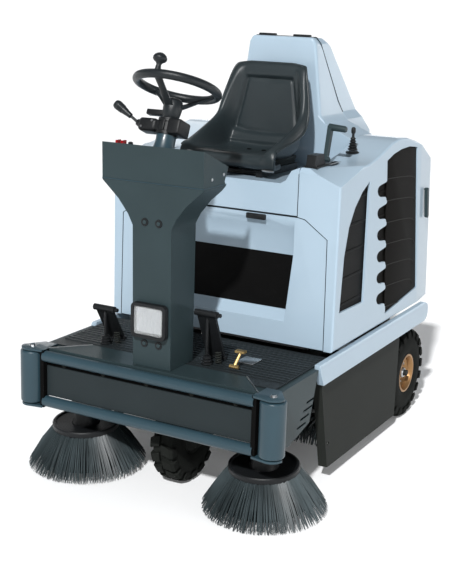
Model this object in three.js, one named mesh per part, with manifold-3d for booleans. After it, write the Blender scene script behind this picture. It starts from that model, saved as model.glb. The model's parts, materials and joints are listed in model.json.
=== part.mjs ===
// Ride-on sweeper, in millimetres, +Z up. The machine faces -Y, and the operator's left is +X.
// The origin is on the floor, in the middle of the bounding box.
import * as THREE from 'three';
import { mergeVertices } from 'three/addons/utils/BufferGeometryUtils.js';
import Module from 'manifold-3d';

const wasm = await Module();
wasm.setup();

// ---------- driving dimensions ----------

const GAP = 0.5; // clearance between pieces that touch
const SHEET = 4; // folded steel sheet

const FRONT = -747; // foremost point, on the corner rollers
const REAR = 747; // rearmost point, at the foot of the rear panel
const DECK_Z = 455; // top of the foot deck plate
const DECK_HALF = 438;
const BODY_FRONT = -246; // front face of the body
const BODY_HALF = 446;
const BODY_FLOOR = 478; // underside of the body mouldings

const ROLLER = { x: 461, y: FRONT + 42, radius: 42, z0: 267, z1: 452 };
const BUMPER = { tubeY: -714, tubeRadius: 19, topZ: 438, bottomZ: 278, half: 404 };
const COLUMN = { half: 72, front: -676, back: -536 };
const DASH = { half: 187, front: -691, back: -538, backTop: 1119, top: 1181, bottom: 1071 };
const STEER = { y: -549, z: 1354, tilt: THREE.MathUtils.degToRad(21.7), rimRadius: 130, rim: 14 };
const REAR_WHEEL = { x: 391, radius: 180, half: 39, rim: 78 };
const REAR_AXLE = { y: REAR - REAR_WHEEL.radius, z: REAR_WHEEL.radius };
const FRONT_WHEEL = { radius: 160, half: 46, bore: 13 };
const FRONT_AXLE = { y: -457, z: FRONT_WHEEL.radius };
const BROOM = { x: 356, y: -533, tilt: THREE.MathUtils.degToRad(4), radius: 208, ring: 118, height: 150 };
const MAIN_BROOM = { y: 70, z: 146, radius: 140, half: 300 };
const HOOD_HALF = 293; // the seat deck between the two side pods
const HOOD_FLOOR = 930;
const TOWER = { front: 172, topZ: 1500, half: 134, footHalf: 186 };
const RAIL = { inner: 296, outer: 324, bottom: 400, top: 440 }; // the two long frame members
// behind the engine, clear of the hood's rear wall as it opens
const FILTER = { half: 240, front: 180, back: 286, top: 1060 };
const POWER_UNIT = { half: 190, depth: 120, top: 690 };
const BASE_HALF = 312; // the base plates that bolt onto the frame rails

// ---------- materials ----------

const paint = (color, roughness, metalness = 0) =>
  new THREE.MeshStandardMaterial({ color, roughness, metalness });
const LIGHT_BLUE = () => paint(0xb9cbdb, 0.35);
const SLATE = () => paint(0x46525a, 0.5, 0.2);
const TUBE_BLUE = () => paint(0x49616f, 0.4, 0.2);
const SKIRT = () => paint(0x3a3c3a, 0.6, 0.2);
const BLACK = () => paint(0x1b1d1e, 0.6);
const RUBBER = () => paint(0x202326, 0.85);
const VINYL = () => paint(0x2b3236, 0.5);
const STEEL = () => paint(0x9a9da0, 0.35, 0.9);
const BRONZE = () => paint(0x8a6a3a, 0.4, 0.8);
const BRISTLE = () => paint(0x333a3f, 0.8);
const RED = () => paint(0xa01818, 0.4);
const GLASS = () => paint(0xe8ecee, 0.1);

// ---------- solids ----------

const toSolid = (geometry) => {
  const bare = geometry.clone();
  bare.deleteAttribute('normal');
  bare.deleteAttribute('uv');
  const merged = mergeVertices(bare, 1e-3);
  const vertProperties = new Float32Array(merged.attributes.position.array);
  const triVerts = new Uint32Array(merged.index.array);
  return new wasm.Manifold(new wasm.Mesh({ numProp: 3, vertProperties, triVerts }));
};

const toGeometry = (solid) => {
  const mesh = solid.getMesh();
  const geometry = new THREE.BufferGeometry();
  geometry.setAttribute('position', new THREE.BufferAttribute(mesh.vertProperties, 3));
  geometry.setIndex(new THREE.BufferAttribute(mesh.triVerts, 1));
  return geometry;
};

const join = (first, ...others) => others.reduce((sum, each) => sum.add(each), first);
const cut = (first, ...others) => others.reduce((rest, each) => rest.subtract(each), first);

const box = (x0, x1, y0, y1, z0, z1) =>
  toSolid(new THREE.BoxGeometry(x1 - x0, y1 - y0, z1 - z0)
    .translate((x0 + x1) / 2, (y0 + y1) / 2, (z0 + z1) / 2));

const outline = (points) => new THREE.Shape(points.map(([a, b]) => new THREE.Vector2(a, b)));
const asShape = (points) => (points instanceof THREE.Shape ? points : outline(points));
const extrude = (shape, depth, curveSegments = 5) =>
  new THREE.ExtrudeGeometry(asShape(shape), { depth, bevelEnabled: false, curveSegments });

// an outline in (y, z), extruded from x0 to x1
const alongX = (shape, x0, x1, curveSegments) =>
  toSolid(extrude(shape, x1 - x0, curveSegments)
    .applyMatrix4(new THREE.Matrix4().set(0, 0, 1, x0, 1, 0, 0, 0, 0, 1, 0, 0, 0, 0, 0, 1)));
// an outline in (x, z), extruded from y0 to y1
const alongY = (shape, y0, y1, curveSegments) =>
  toSolid(extrude(shape, y1 - y0, curveSegments).rotateX(Math.PI / 2).translate(0, y1, 0));
// an outline in (x, y), extruded from z0 to z1
const alongZ = (shape, z0, z1, curveSegments) =>
  toSolid(extrude(shape, z1 - z0, curveSegments).translate(0, 0, z0));

// a round bar between two points
const bar = (from, to, radius, endRadius = radius, sides = 12) => {
  const a = new THREE.Vector3(...from);
  const b = new THREE.Vector3(...to);
  const geometry = new THREE.CylinderGeometry(endRadius, radius, a.distanceTo(b), sides);
  const turn = new THREE.Quaternion()
    .setFromUnitVectors(new THREE.Vector3(0, 1, 0), b.clone().sub(a).normalize());
  geometry.applyQuaternion(turn).translate(...a.add(b).multiplyScalar(0.5).toArray());
  return toSolid(geometry);
};

const ball = ([x, y, z], radius) => toSolid(new THREE.SphereGeometry(radius, 12, 7).translate(x, y, z));

// a profile of (radius, height) turned about Z
const turned = (profile, sides = 20) => {
  const points = profile.map(([r, z]) => new THREE.Vector2(r, z));
  const geometry = new THREE.LatheGeometry([...points, points[0]], sides);
  return toSolid(geometry.rotateX(Math.PI / 2));
};
// the same about X, centred on the origin
const turnedX = (profile, sides) => turned(profile, sides).rotate([0, 90, 0]);

const mirrored = (solid) => solid.mirror([1, 0, 0]);
// a closed outline from its +X half
const mirrorOutline = (half) => [...half, ...half.slice().reverse().map(([x, z]) => [-x, z])];

// a rectangle with rounded corners
const roundedRect = (x0, x1, y0, y1, r) => {
  const shape = new THREE.Shape();
  shape.moveTo(x0 + r, y0).lineTo(x1 - r, y0).absarc(x1 - r, y0 + r, r, -Math.PI / 2, 0);
  shape.lineTo(x1, y1 - r).absarc(x1 - r, y1 - r, r, 0, Math.PI / 2);
  shape.lineTo(x0 + r, y1).absarc(x0 + r, y1 - r, r, Math.PI / 2, Math.PI);
  shape.lineTo(x0, y0 + r).absarc(x0 + r, y0 + r, r, Math.PI, Math.PI * 1.5);
  return shape;
};

// ---------- the assembly ----------

const sweeper = new THREE.Group();

const add = (name, solid, material, parent = sweeper) => {
  const mesh = new THREE.Mesh(toGeometry(solid), material());
  mesh.name = name;
  parent.add(mesh);
  return mesh;
};
const SIDES = [['left', (solid) => solid], ['right', mirrored]];
const addPair = (name, solid, material) =>
  SIDES.forEach(([side, place]) => add(`${name}_${side}`, place(solid), material));

// ---------- chassis ----------

function chassisFrame() {
  const { inner, outer, bottom, top } = RAIL;
  const rail = box(inner, outer, -660, 700, bottom, top);
  const cross = (y) => box(-inner - 4, inner + 4, y, y + 30, bottom, top);
  const head = box(-60, 60, FRONT_AXLE.y - 60, FRONT_AXLE.y + 60, bottom, top);
  const spine = box(-40, 40, -660, -300, bottom + 5, top - 2);
  const headHole = bar([0, FRONT_AXLE.y, 380], [0, FRONT_AXLE.y, 450], 23);
  // plates that carry the rear wheels on stub axles
  const axlePlate = box(300, 312, REAR_AXLE.y - 35, REAR_AXLE.y + 35, REAR_AXLE.z - 30, 410);
  const stub = bar([306, REAR_AXLE.y, REAR_AXLE.z], [427, REAR_AXLE.y, REAR_AXLE.z], 12);
  // hangers for the main broom arms
  const hanger = box(320, 328, 262, 298, 240, 410);
  const hangerPin = bar([304, 280, 260], [330, 280, 260], 8);
  // hangers for the side broom arms, either side of the arm
  const ears = box(340, 348, -330, -300, 250, 436).add(box(366, 374, -330, -300, 250, 436));
  const earBridge = box(310, 374, -330, -300, 412, 436);
  const earHole = bar([330, -315, 270], [390, -315, 270], 9);
  const half = cut(join(rail, axlePlate, stub, hanger, hangerPin, ears, earBridge), earHole);
  const frame = join(half, mirrored(half), cross(-660), cross(-310), cross(300), cross(670), head, spine);
  return frame.subtract(headHole);
}
add('chassis_frame', chassisFrame(), SKIRT);

// the deck plate, with the raised strip behind the bumper tube that ends in two mitres
const STRIP = { front: -694, back: -581, frontHalf: 402, backHalf: 301, top: DECK_Z + 6 };
const stripOutline = (grow = 0) =>
  mirrorOutline([[STRIP.frontHalf + grow, STRIP.front], [STRIP.backHalf + grow, STRIP.back + grow]]);
function deckPlate() {
  const back = BODY_FRONT - GAP;
  const shape = mirrorOutline([[STRIP.frontHalf, STRIP.front], [STRIP.frontHalf, -640], [DECK_HALF, -640],
    [DECK_HALF, back]]);
  const plate = alongZ(shape, DECK_Z - 6, DECK_Z);
  const strip = alongZ(stripOutline(), DECK_Z - 1, STRIP.top);
  const cableHole = box(-40, 40, -640, -560, 440, 470);
  return cut(plate.add(strip), cableHole);
}
add('deck_plate', deckPlate(), SLATE);

function deckMat() {
  const z = DECK_Z + GAP;
  const side = DECK_HALF - 6;
  const mat = box(-side, side, -636, BODY_FRONT - 2, z, z + 5);
  const ribs = Array.from({ length: 14 }, (_, i) => {
    const y = -572 + i * 23;
    return box(-side + 6, side - 6, y, y + 9, z + 3, z + 7);
  });
  const column = box(-COLUMN.half - 1, COLUMN.half + 1, -700, COLUMN.back + 1, 440, 480);
  return cut(join(mat, ...ribs), alongZ(stripOutline(1), 440, 480), column);
}
add('deck_mat', deckMat(), RUBBER);

// ---------- bumper ----------

function bumperFrame() {
  const { tubeY, tubeRadius, topZ, bottomZ, half } = BUMPER;
  const tube = (z) => bar([-half, tubeY, z], [half, tubeY, z], tubeRadius, tubeRadius, 20);
  // plates above and below each corner roller, with the roller's pin between them
  const lug = (z0, z1, rear) => {
    const shape = new THREE.Shape();
    shape.moveTo(half, tubeY - tubeRadius).lineTo(ROLLER.x, FRONT + 4);
    shape.absarc(ROLLER.x, ROLLER.y, 38, -Math.PI / 2, 0);
    shape.lineTo(456, rear).lineTo(half, rear);
    return alongZ(shape, z0, z1);
  };
  const topLug = lug(ROLLER.z1 + 3.5, 462, -642);
  const bottomLug = lug(257, ROLLER.z0 - 3, -662);
  const post = box(half - 4, half + 6, tubeY - 12, tubeY + 14, 257, 462);
  const pin = bar([ROLLER.x, ROLLER.y, 250], [ROLLER.x, ROLLER.y, 470], 7);
  const bracket = box(RAIL.inner, RAIL.outer, tubeY + 10, -660 - GAP, 424, RAIL.top);
  const corner = join(topLug, bottomLug, post, pin, bracket);
  return join(tube(topZ), tube(bottomZ), corner, mirrored(corner));
}
add('bumper_frame', bumperFrame(), TUBE_BLUE);

function bumperPanel() {
  const halfWidth = BUMPER.half - 6;
  const front = box(-halfWidth, halfWidth, -709, -705, 297.5, 404);
  const shelf = box(-halfWidth, halfWidth, -709, -691, 400, 404);
  const back = box(-halfWidth, halfWidth, -695, -691, 400, 418);
  const bolts = [-330, -170, 0, 170, 330].map((x) => bar([x, -702, 411], [x, -694, 411], 5, 5, 8));
  return join(front, shelf, back, ...bolts);
}
add('bumper_panel', bumperPanel(), SLATE);

function sidePlate() {
  const plate = alongX([[-655, 268], [-577, 253], [-425, 290], [-371, 455], [-655, 455]], 452, 456);
  const flange = box(DECK_HALF + GAP, 453, -640, -372, 449, 455);
  const slots = Array.from({ length: 4 }, (_, i) => {
    const y = -452 - i * 22;
    const z = 361 - i * 23;
    return alongX([[y, z], [y + 66, z + 2], [y + 66, z + 9], [y, z + 7]], 440, 460);
  });
  return cut(plate.add(flange), ...slots);
}
addPair('side_plate', sidePlate(), SLATE);

function cornerRoller() {
  const length = ROLLER.z1 - ROLLER.z0 - 1;
  const r = ROLLER.radius;
  return turned([[8, 0], [r - 5, 0], [r, 5], [r, length - 5], [r - 5, length], [8, length]], 28)
    .translate(ROLLER.x, ROLLER.y, ROLLER.z0 + 0.5);
}
addPair('corner_roller', cornerRoller(), TUBE_BLUE);

// ---------- sills and skirts ----------

const SILL = { bottom: 391, top: 468, front: -366, end: 626 };
function sill() {
  const radius = (SILL.top - SILL.bottom) / 2;
  const shape = new THREE.Shape();
  shape.moveTo(SILL.front, 444).lineTo(SILL.front + 30, SILL.bottom).lineTo(SILL.end, SILL.bottom);
  shape.absarc(SILL.end, SILL.bottom + radius, radius, -Math.PI / 2, Math.PI / 2);
  shape.lineTo(SILL.front, SILL.top);
  const beam = alongX(shape, 438.5, 462, 10);
  const chamfer = alongY([[456, SILL.top + 1], [463, SILL.top + 1], [463, SILL.top - 12]], -400, 720);
  const web = (y0, y1) => box(RAIL.outer + 1, 439, y0, y1, 404, 440);
  return join(cut(beam, chamfer), web(20, 60), web(-240, -210));
}
addPair('sill', sill(), LIGHT_BLUE);

const SKIRT_TOP = SILL.bottom - 1;
function skirt() {
  const plate = alongX([[-317, SKIRT_TOP], [-235, 60], [398, 56], [402, SKIRT_TOP]], 441, 445);
  const hole = bar([430, -236, 150], [460, -236, 150], 7);
  const foldedEdge = alongX([[-317, SKIRT_TOP], [-235, 60], [-231, 60], [-313, SKIRT_TOP]], 412, 445);
  return cut(plate.add(foldedEdge), hole);
}
addPair('skirt', skirt(), SKIRT);

// ---------- steering column, dash and lamp ----------

// the T-shaped front of the column, smaller by `inset` all round
function columnOutline(inset, bottom, top) {
  const half = [[COLUMN.half, bottom], [COLUMN.half, 925], [90, 960], [126, 1005], [DASH.half, 1060],
    [DASH.half, top]];
  return mirrorOutline(half.map(([x, z]) => [x - inset, z]));
}
function columnCover() {
  const profile = [[COLUMN.front, 461.5], [COLUMN.back, 461.5], [COLUMN.back, 1040], [-560, 1075],
    [DASH.back, DASH.backTop], [DASH.front, DASH.top]];
  const inside = [[COLUMN.front + SHEET, 440], [COLUMN.back - SHEET, 440], [COLUMN.back - SHEET, 1200],
    [DASH.front + SHEET, 1200]];
  const outer = alongY(columnOutline(0, 450, 1190), -720, -500).intersect(alongX(profile, -200, 200));
  const inner = alongY(columnOutline(SHEET, 430, 1210), -720, -500).intersect(alongX(inside, -200, 200));
  const backNotch = box(-DASH.half + 8, DASH.half - 8, -548, -530, 1085, 1200);
  const wheelSideBolts = [[26, 940], [27, 540]].flatMap(([x, z]) => [-x, x].map((side) => {
    const y = COLUMN.front - (z - 461) * (15 / 720);
    return bar([side, y - 3, z], [side, y + 2, z], 7, 7, 10);
  }));
  return join(cut(outer, inner, backNotch), ...wheelSideBolts);
}
add('column_cover', columnCover(), SLATE);

const KNOB_Y = -645;
const KNOBS = [{ name: 'choke_knob', x: -157, red: true }, { name: 'flap_knob', x: -136, red: true },
  { name: 'key_switch', x: -110, red: false }];
function dashPanel() {
  const slope = (DASH.top - DASH.backTop) / (DASH.back - DASH.front);
  const height = (y) => DASH.top - 24 - (y - DASH.front) * slope;
  const [front, back] = [DASH.front + SHEET + 1.5, -550];
  const plate = alongX([[front, height(front)], [back, height(back)], [back, height(back) - 4],
    [front, height(front) - 4]], -DASH.half + SHEET + GAP, DASH.half - SHEET - GAP);
  const openings = [bar([0, -634, 1080], [0, -634, 1200], 47, 47, 24), ...KNOBS.map(({ x }) =>
    bar([x, KNOB_Y, 1080], [x, KNOB_Y, 1200], 5, 5, 12))];
  return cut(plate, ...openings);
}
add('dash_panel', dashPanel(), BLACK);

KNOBS.forEach(({ name, x, red }) => {
  const stem = turned([[0, 0], [4, 0], [4, 52], [0, 52]], 10);
  const cap = red ? box(-3.5, 3.5, -11, 11, 48, 62) : turned([[0, 48], [8, 48], [8, 58], [0, 60]], 12);
  add(name, stem.add(cap).translate(x, KNOB_Y, 1122), red ? RED : BLACK);
});

const LAMP = { half: 54, z0: 575, z1: 668, y: COLUMN.front - 5.5 };
function headlightBezel() {
  const rim = roundedRect(-LAMP.half - 11, LAMP.half + 11, LAMP.z0 - 11, LAMP.z1 + 11, 16);
  const pocket = roundedRect(-LAMP.half, LAMP.half, LAMP.z0, LAMP.z1, 10);
  return alongY(rim, LAMP.y - 22, LAMP.y).subtract(alongY(pocket, LAMP.y - 40, LAMP.y - 5));
}
add('headlight_bezel', headlightBezel(), BLACK);
function headlightLens() {
  const half = LAMP.half - GAP;
  return alongY(roundedRect(-half, half, LAMP.z0 + GAP, LAMP.z1 - GAP, 9.5), LAMP.y - 19, LAMP.y - 5.5);
}
add('headlight_lens', headlightLens(), GLASS);

// ---------- steering wheel, on its own tilted axis ----------

const steering = new THREE.Group();
steering.position.set(0, STEER.y, STEER.z);
steering.rotation.x = -STEER.tilt;
sweeper.add(steering);

function columnTube() {
  return turned([[16, -255], [38, -255], [44, -226], [39, -200], [37, -160], [16, -160]], 24);
}
add('column_tube', columnTube(), TUBE_BLUE, steering);

function switchHousing() {
  const body = alongZ(roundedRect(-98, 60, -36, 36, 14), -158, -108);
  const bore = bar([0, 0, -170], [0, 0, -90], 16, 16, 20);
  const stalkSocket = bar([-92, 0, -133], [-116, -4, -124], 16, 12);
  const socketBore = bar([-108, -3, -128], [-140, -8, -117], 8);
  return cut(body.add(stalkSocket), bore, socketBore);
}
add('switch_housing', switchHousing(), BLACK, steering);

const SPOKE_ANGLES = [270, 30, 150].map(THREE.MathUtils.degToRad);
const KNOB_AT = [Math.cos(SPOKE_ANGLES[0]) * STEER.rimRadius, Math.sin(SPOKE_ANGLES[0]) * STEER.rimRadius];
function steeringWheel() {
  const rim = toSolid(new THREE.TorusGeometry(STEER.rimRadius, STEER.rim, 10, 32));
  const spokes = SPOKE_ANGLES.map((angle) => {
    const [c, s] = [Math.cos(angle), Math.sin(angle)];
    const reach = STEER.rimRadius - 4;
    return bar([c * 12, s * 12, -66], [c * reach, s * reach, -2], 12, 9, 10);
  });
  const hub = turned([[0, -300], [14, -300], [14, -100], [26, -98], [30, -72], [26, -44], [0, -40]], 20);
  const knobSeat = bar([KNOB_AT[0], KNOB_AT[1], 8], [KNOB_AT[0], KNOB_AT[1], 20], 11, 8, 14);
  return join(rim, ...spokes, hub, knobSeat);
}
add('steering_wheel', steeringWheel(), BLACK, steering);

const mushroom = [[0, 20.5], [8, 20.5], [9, 28], [21, 39], [23, 48], [18, 59], [8, 65], [0, 66]];
add('spinner_knob', turned(mushroom, 16).translate(KNOB_AT[0], KNOB_AT[1], 0), BLACK, steering);

function signalStalk() {
  const rod = bar([-112, -4, -126.5], [-140, -9, -112], 5);
  return join(rod, bar([-136, -8, -114], [-186, -23, -82], 9, 16), ball([-188, -23.5, -80.7], 16));
}
add('signal_stalk', signalStalk(), BLACK, steering);

// ---------- pedals and small levers ----------

// a treadle hinged at the heel, with a cross bar at the toe and a push rod under it
const PEDAL = { heelY: -480, heelZ: 472, toeY: -552 };
function pedal(x, toeZ) {
  const { heelY, heelZ, toeY } = PEDAL;
  const side = [[heelY - 4, heelZ - 2], [heelY + 4, heelZ + 3], [toeY + 4, toeZ], [toeY - 5, toeZ - 4]];
  const plate = alongX(side, x - 34, x + 34);
  const heel = bar([x - 38, heelY, heelZ], [x + 38, heelY, heelZ], 7, 7, 12);
  const toe = bar([x - 42, toeY, toeZ], [x + 42, toeY, toeZ], 11, 11, 14);
  const nut = bar([x + 40, toeY, toeZ], [x + 54, toeY, toeZ], 7, 7, 6);
  const rod = bar([x, toeY + 6, toeZ - 12], [x - 2, toeY + 10, 494], 6, 6, 10);
  return join(plate, heel, toe, nut, rod);
}
add('drive_pedal', pedal(-272, 590), BLACK);
add('brake_pedal', pedal(130, 636), BLACK);

function flapPedal() {
  const heel = bar([218, -545, 472], [250, -545, 472], 7, 7, 12);
  const stem = bar([234, -545, 472], [240, -512, 516], 6, 5, 10);
  return join(heel, stem, box(222, 256, -522, -502, 512, 520));
}
add('flap_pedal', flapPedal(), BRONZE);

const POD_TOP = 1092; // the flat part of the pod tops, where the levers stand
function leverBracket() {
  const plate = box(300, 348, -225, -50, POD_TOP + GAP, POD_TOP + 6);
  const block = alongX([[-222, POD_TOP + 4], [-214, 1134], [-150, 1134], [-140, POD_TOP + 4]], 304, 338);
  return plate.add(block);
}
add('lever_bracket', leverBracket(), BLACK);

function hopperLever() {
  const shank = alongX([[-112, 1106], [-96, 1102], [-64, 1214], [-72, 1226], [-86, 1220]], 315, 329);
  const pivot = bar([308, -104, 1109], [336, -104, 1109], 8, 8, 12);
  const grip = bar([317, -76, 1216], [376, -76, 1212], 12, 11, 14);
  return join(shank, pivot, grip);
}
add('hopper_lever', hopperLever(), SLATE);

function broomLever() {
  const fold = (i) => [[18 - i * 2.6, 9 * i], [15 - i * 2.6, 9 * i + 5]];
  const rings = Array.from({ length: 5 }, (_, i) => fold(i)).flat();
  const boot = turned([[0, 0], ...rings, [5, 44], [5, 58], [8, 64], [8, 76], [5, 82], [0, 82]], 16);
  return boot.translate(338, 86, 1122);
}
add('broom_lever', broomLever(), BLACK);

// ---------- body mouldings ----------

const WINDOW = { top: 786, bottom: 592, topHalf: 278, bottomHalf: 258 };
const BAND = { top: 915, bottom: 560, half: 284, depth: -208 };
// the front panel's outline, larger by `grow` at the sides and the top
const panelOutline = (grow = 0, bottom = BODY_FLOOR + 2) => {
  const shoulder = [[406, 862], [322, 921], [300, 924]].map(([x, z]) => [x + grow, z + grow]);
  return mirrorOutline([[412 + grow, bottom], ...shoulder]);
};
const windowOutline = (grow) => mirrorOutline([[WINDOW.bottomHalf + grow, WINDOW.bottom - grow],
  [WINDOW.topHalf + grow, WINDOW.top + grow]]);
function frontPanel() {
  const block = alongY(panelOutline(), BODY_FRONT, -200);
  const hollow = [[-260, BAND.top], [BODY_FRONT, BAND.top], [-231, 882], [-217, 840], [BAND.depth, WINDOW.top],
    [BAND.depth, WINDOW.bottom - 4], [BODY_FRONT, BAND.bottom], [-260, BAND.bottom]];
  const band = alongX(hollow, -BAND.half, BAND.half);
  const taper = alongY([[BAND.half, WINDOW.top + 10], [300, WINDOW.top + 10], [300, 540], [258, 540],
    [WINDOW.bottomHalf + 5, WINDOW.bottom]], -300, -190);
  const window = alongY(windowOutline(0), -260, -190);
  const latch = box(104, 176, -252, -240, 905, 921);
  return join(cut(block, cut(band, taper, mirrored(taper)), window), latch);
}
add('front_panel', frontPanel(), LIGHT_BLUE);
add('front_grille', alongY(windowOutline(-GAP), -207, -202), BLACK);

// the leaning rear face, and how far each side tapers towards it
const REAR_FACE = { foot: 736, top: 684, topZ: 1008, taper: 20, taperLength: 175 };
const POD_SIDE = [[BODY_FRONT, BODY_FLOOR], [BODY_FRONT, 1076], [BODY_FRONT + 14, POD_TOP], [-20, POD_TOP],
  [60, 1106], [120, 1122], [200, 1146], [270, 1156], [345, 1152], [430, 1134], [510, 1108], [585, 1076],
  [662, 1044], [REAR_FACE.top, REAR_FACE.topZ], [REAR_FACE.foot, BODY_FLOOR]];
const insetSide = (points, wall) => points.map(([y, z]) =>
  [y < 0 ? y + wall : y > 600 ? y - wall : y, z < 600 ? z + wall : z - wall]);
const POD_WALL = 8;
const FRONT_GRILLE = [[6, 603], [3, 1034], [-60, 1004], [-116, 958], [-160, 896], [-188, 800], [-204, 608]];
const REAR_GRILLE = [[226, 509], [153, 1088], [216, 1106], [290, 1116], [370, 1118], [452, 1108], [550, 545]];
const SCALLOPS = { count: 6, top: 984, pitch: 81, reach: 88 };
// the front edge of the rear grille leans back towards the floor
const rearGrilleFront = (z) => 153 + (1088 - z) * 0.126;

// a corner piece with four points
function wedge(...points) {
  const geometry = new THREE.BufferGeometry();
  geometry.setAttribute('position', new THREE.Float32BufferAttribute(points.flat(), 3));
  geometry.setIndex([0, 1, 2, 0, 2, 3, 0, 3, 1, 1, 3, 2]);
  return toSolid(geometry);
}

// the space in front of the rear face, between sides that taper towards it
function taperedRear(wall) {
  const { foot, top, topZ, taper, taperLength } = REAR_FACE;
  const lean = THREE.MathUtils.radToDeg(Math.atan2(foot - top, topZ - BODY_FLOOR));
  const side = BODY_HALF - wall;
  const plan = [[200, -1400], [side, -1400], [side, -taperLength], [side - taper, -wall - 12],
    [side - taper - 9, -wall], [200, -wall]];
  return alongZ(plan, -400, 1000).rotate([lean, 0, 0]).translate(0, foot, BODY_FLOOR);
}

// one hollow between two rounded fingers, deepest at its top
function scallop(z) {
  const mouth = rearGrilleFront(z);
  const deep = mouth - SCALLOPS.reach;
  const shape = new THREE.Shape();
  shape.moveTo(mouth + 10, z + 40).lineTo(mouth, z + 40);
  shape.quadraticCurveTo(mouth - 1, z + 28, mouth - 16, z + 27).lineTo(deep + 20, z + 22);
  shape.quadraticCurveTo(deep, z + 18, deep, z + 4).quadraticCurveTo(deep + 6, z - 16, mouth - 48, z - 22);
  shape.lineTo(mouth - 16, z - 25).quadraticCurveTo(mouth - 1, z - 26, mouth, z - 39.5);
  shape.lineTo(mouth + 10, z - 39.5);
  return shape;
}

function sidePod() {
  const outer = alongX(POD_SIDE, HOOD_HALF + GAP, BODY_HALF).intersect(taperedRear(0));
  const inner = alongX(insetSide(POD_SIDE, POD_WALL), HOOD_HALF - 5, BODY_HALF - POD_WALL)
    .intersect(taperedRear(POD_WALL));
  const panelSpace = alongY(panelOutline(GAP, BODY_FLOOR - 3), -260, -199);
  const scallops = Array.from({ length: SCALLOPS.count }, (_, i) =>
    alongX(scallop(SCALLOPS.top - i * SCALLOPS.pitch), BODY_HALF - 20, BODY_HALF + 5, 6));
  const openings = [FRONT_GRILLE, REAR_GRILLE].map((shape) => alongX(shape, BODY_HALF - 20, BODY_HALF + 5));
  // the top slopes down towards the front outer corner
  const corner = wedge([310, -250, 1094], [460, -250, 1036], [460, -250, 1160], [460, 10, 1100]);
  const cavity = inner.subtract(corner.translate(0, 0, -POD_WALL - 2));
  return cut(outer, cavity, panelSpace, corner, ...scallops, ...openings);
}
addPair('side_pod', sidePod(), LIGHT_BLUE);

// louvred panels behind the openings
function grillePanel(y0, y1, z0, z1, pitch) {
  const x = BODY_HALF - POD_WALL - GAP;
  const plate = box(x - 6, x - 2, y0, y1, z0, z1);
  const count = Math.floor((z1 - z0) / pitch);
  const louvres = Array.from({ length: count }, (_, i) => {
    const z = z0 + pitch * (i + 0.5);
    return alongY([[x - 4, z - 8], [x, z - 4], [x, z + 2], [x - 4, z + 6]], y0 + 10, y1 - 10);
  });
  const inside = alongX(insetSide(POD_SIDE, POD_WALL + GAP), 0, BODY_HALF);
  return join(plate, ...louvres).intersect(inside).intersect(taperedRear(POD_WALL + GAP));
}
addPair('side_grille', grillePanel(-218, 30, 585, 1036, 90), BLACK);
addPair('rear_grille', grillePanel(46, 570, 495, 1124, 88), BLACK);

function rearPanel() {
  const side = [[374, BODY_FLOOR], [374, 1118], [590, 1118], [662, 1092], [688, 1040],
    [REAR_FACE.foot, BODY_FLOOR]];
  const inside = [[360, 460], [360, 1112], [588, 1112], [657, 1088], [681, 1036], [REAR_FACE.foot - 7, 460]];
  const width = HOOD_HALF - GAP;
  return cut(alongX(side, -width, width), alongX(inside, -width + 6, width - 6));
}
add('rear_panel', rearPanel(), LIGHT_BLUE);

function rearLatch() {
  const grip = alongX([[582, 937], [574, 930], [594, 822], [602, 816], [610, 824], [590, 934]], 442, 455);
  const pivot = bar([444.5, 572, 932], [444.5, 596, 932], 4, 4, 10);
  return grip.add(pivot);
}
add('rear_latch', rearLatch(), SLATE);

// ---------- hood, lid and seat ----------

function hoodSolid(inset) {
  const w = HOOD_HALF - GAP - inset;
  const floor = HOOD_FLOOR - inset * 3;
  const deck = mirrorOutline([[w, floor], [w, POD_TOP - inset], [264, 1080 - inset], [244, 1046 - inset],
    [224, 1034 - inset]]);
  const tower = mirrorOutline([[w, floor], [w, 1150 - inset], [TOWER.footHalf - inset, 1197 - inset],
    [168 - inset, 1226], [TOWER.half + 2 - inset, 1478], [TOWER.half - 12 - inset, TOWER.topZ - inset]]);
  const frontShell = [[TOWER.front + inset, floor], [TOWER.front + inset, TOWER.topZ - inset],
    [205 - inset * 0.5, TOWER.topZ - inset], [335 - inset, 1266 - inset * 0.5], [372 - inset, 1222],
    [372 - inset, floor]];
  return join(alongY(deck, BODY_FRONT + inset, 180 + inset * 2),
    alongY(tower, 100, 500).intersect(alongX(frontShell, -300, 300)));
}
add('hood', cut(hoodSolid(0), hoodSolid(6)), LIGHT_BLUE);

function lidSolid(inset) {
  const side = [[206 + inset * 1.5, TOWER.topZ - inset], [250 - inset * 0.3, TOWER.topZ - 4 - inset],
    [300 - inset, 1466 - inset], [384 - inset, 1362 - inset], [452 - inset, 1280 - inset],
    [512 - inset, 1205 - inset], [590 - inset, 1142 - inset], [590 - inset, 1119 - inset * 2],
    [373 + inset, 1119 - inset * 2], [373 + inset, 1223], [336.5 + inset, 1267 + inset * 0.4]];
  const front = mirrorOutline([[196 - inset, 1110 - inset * 2], [TOWER.footHalf - inset, 1197],
    [168 - inset, 1226], [TOWER.half + 2 - inset, 1478], [TOWER.half - 12 - inset, TOWER.topZ - inset]]);
  return alongX(side, -300, 300).intersect(alongY(front, 100, 620));
}
add('rear_lid', cut(lidSolid(0), lidSolid(5)), LIGHT_BLUE);

function seatRails() {
  const rail = (x) => box(x - 12, x + 12, -185, 95, 1034.5, 1058);
  const tie = (y) => box(-110, 110, y, y + 30, 1036, 1050);
  return join(rail(-110), rail(110), tie(-150), tie(40));
}
add('seat_rails', seatRails(), STEEL);

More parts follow.
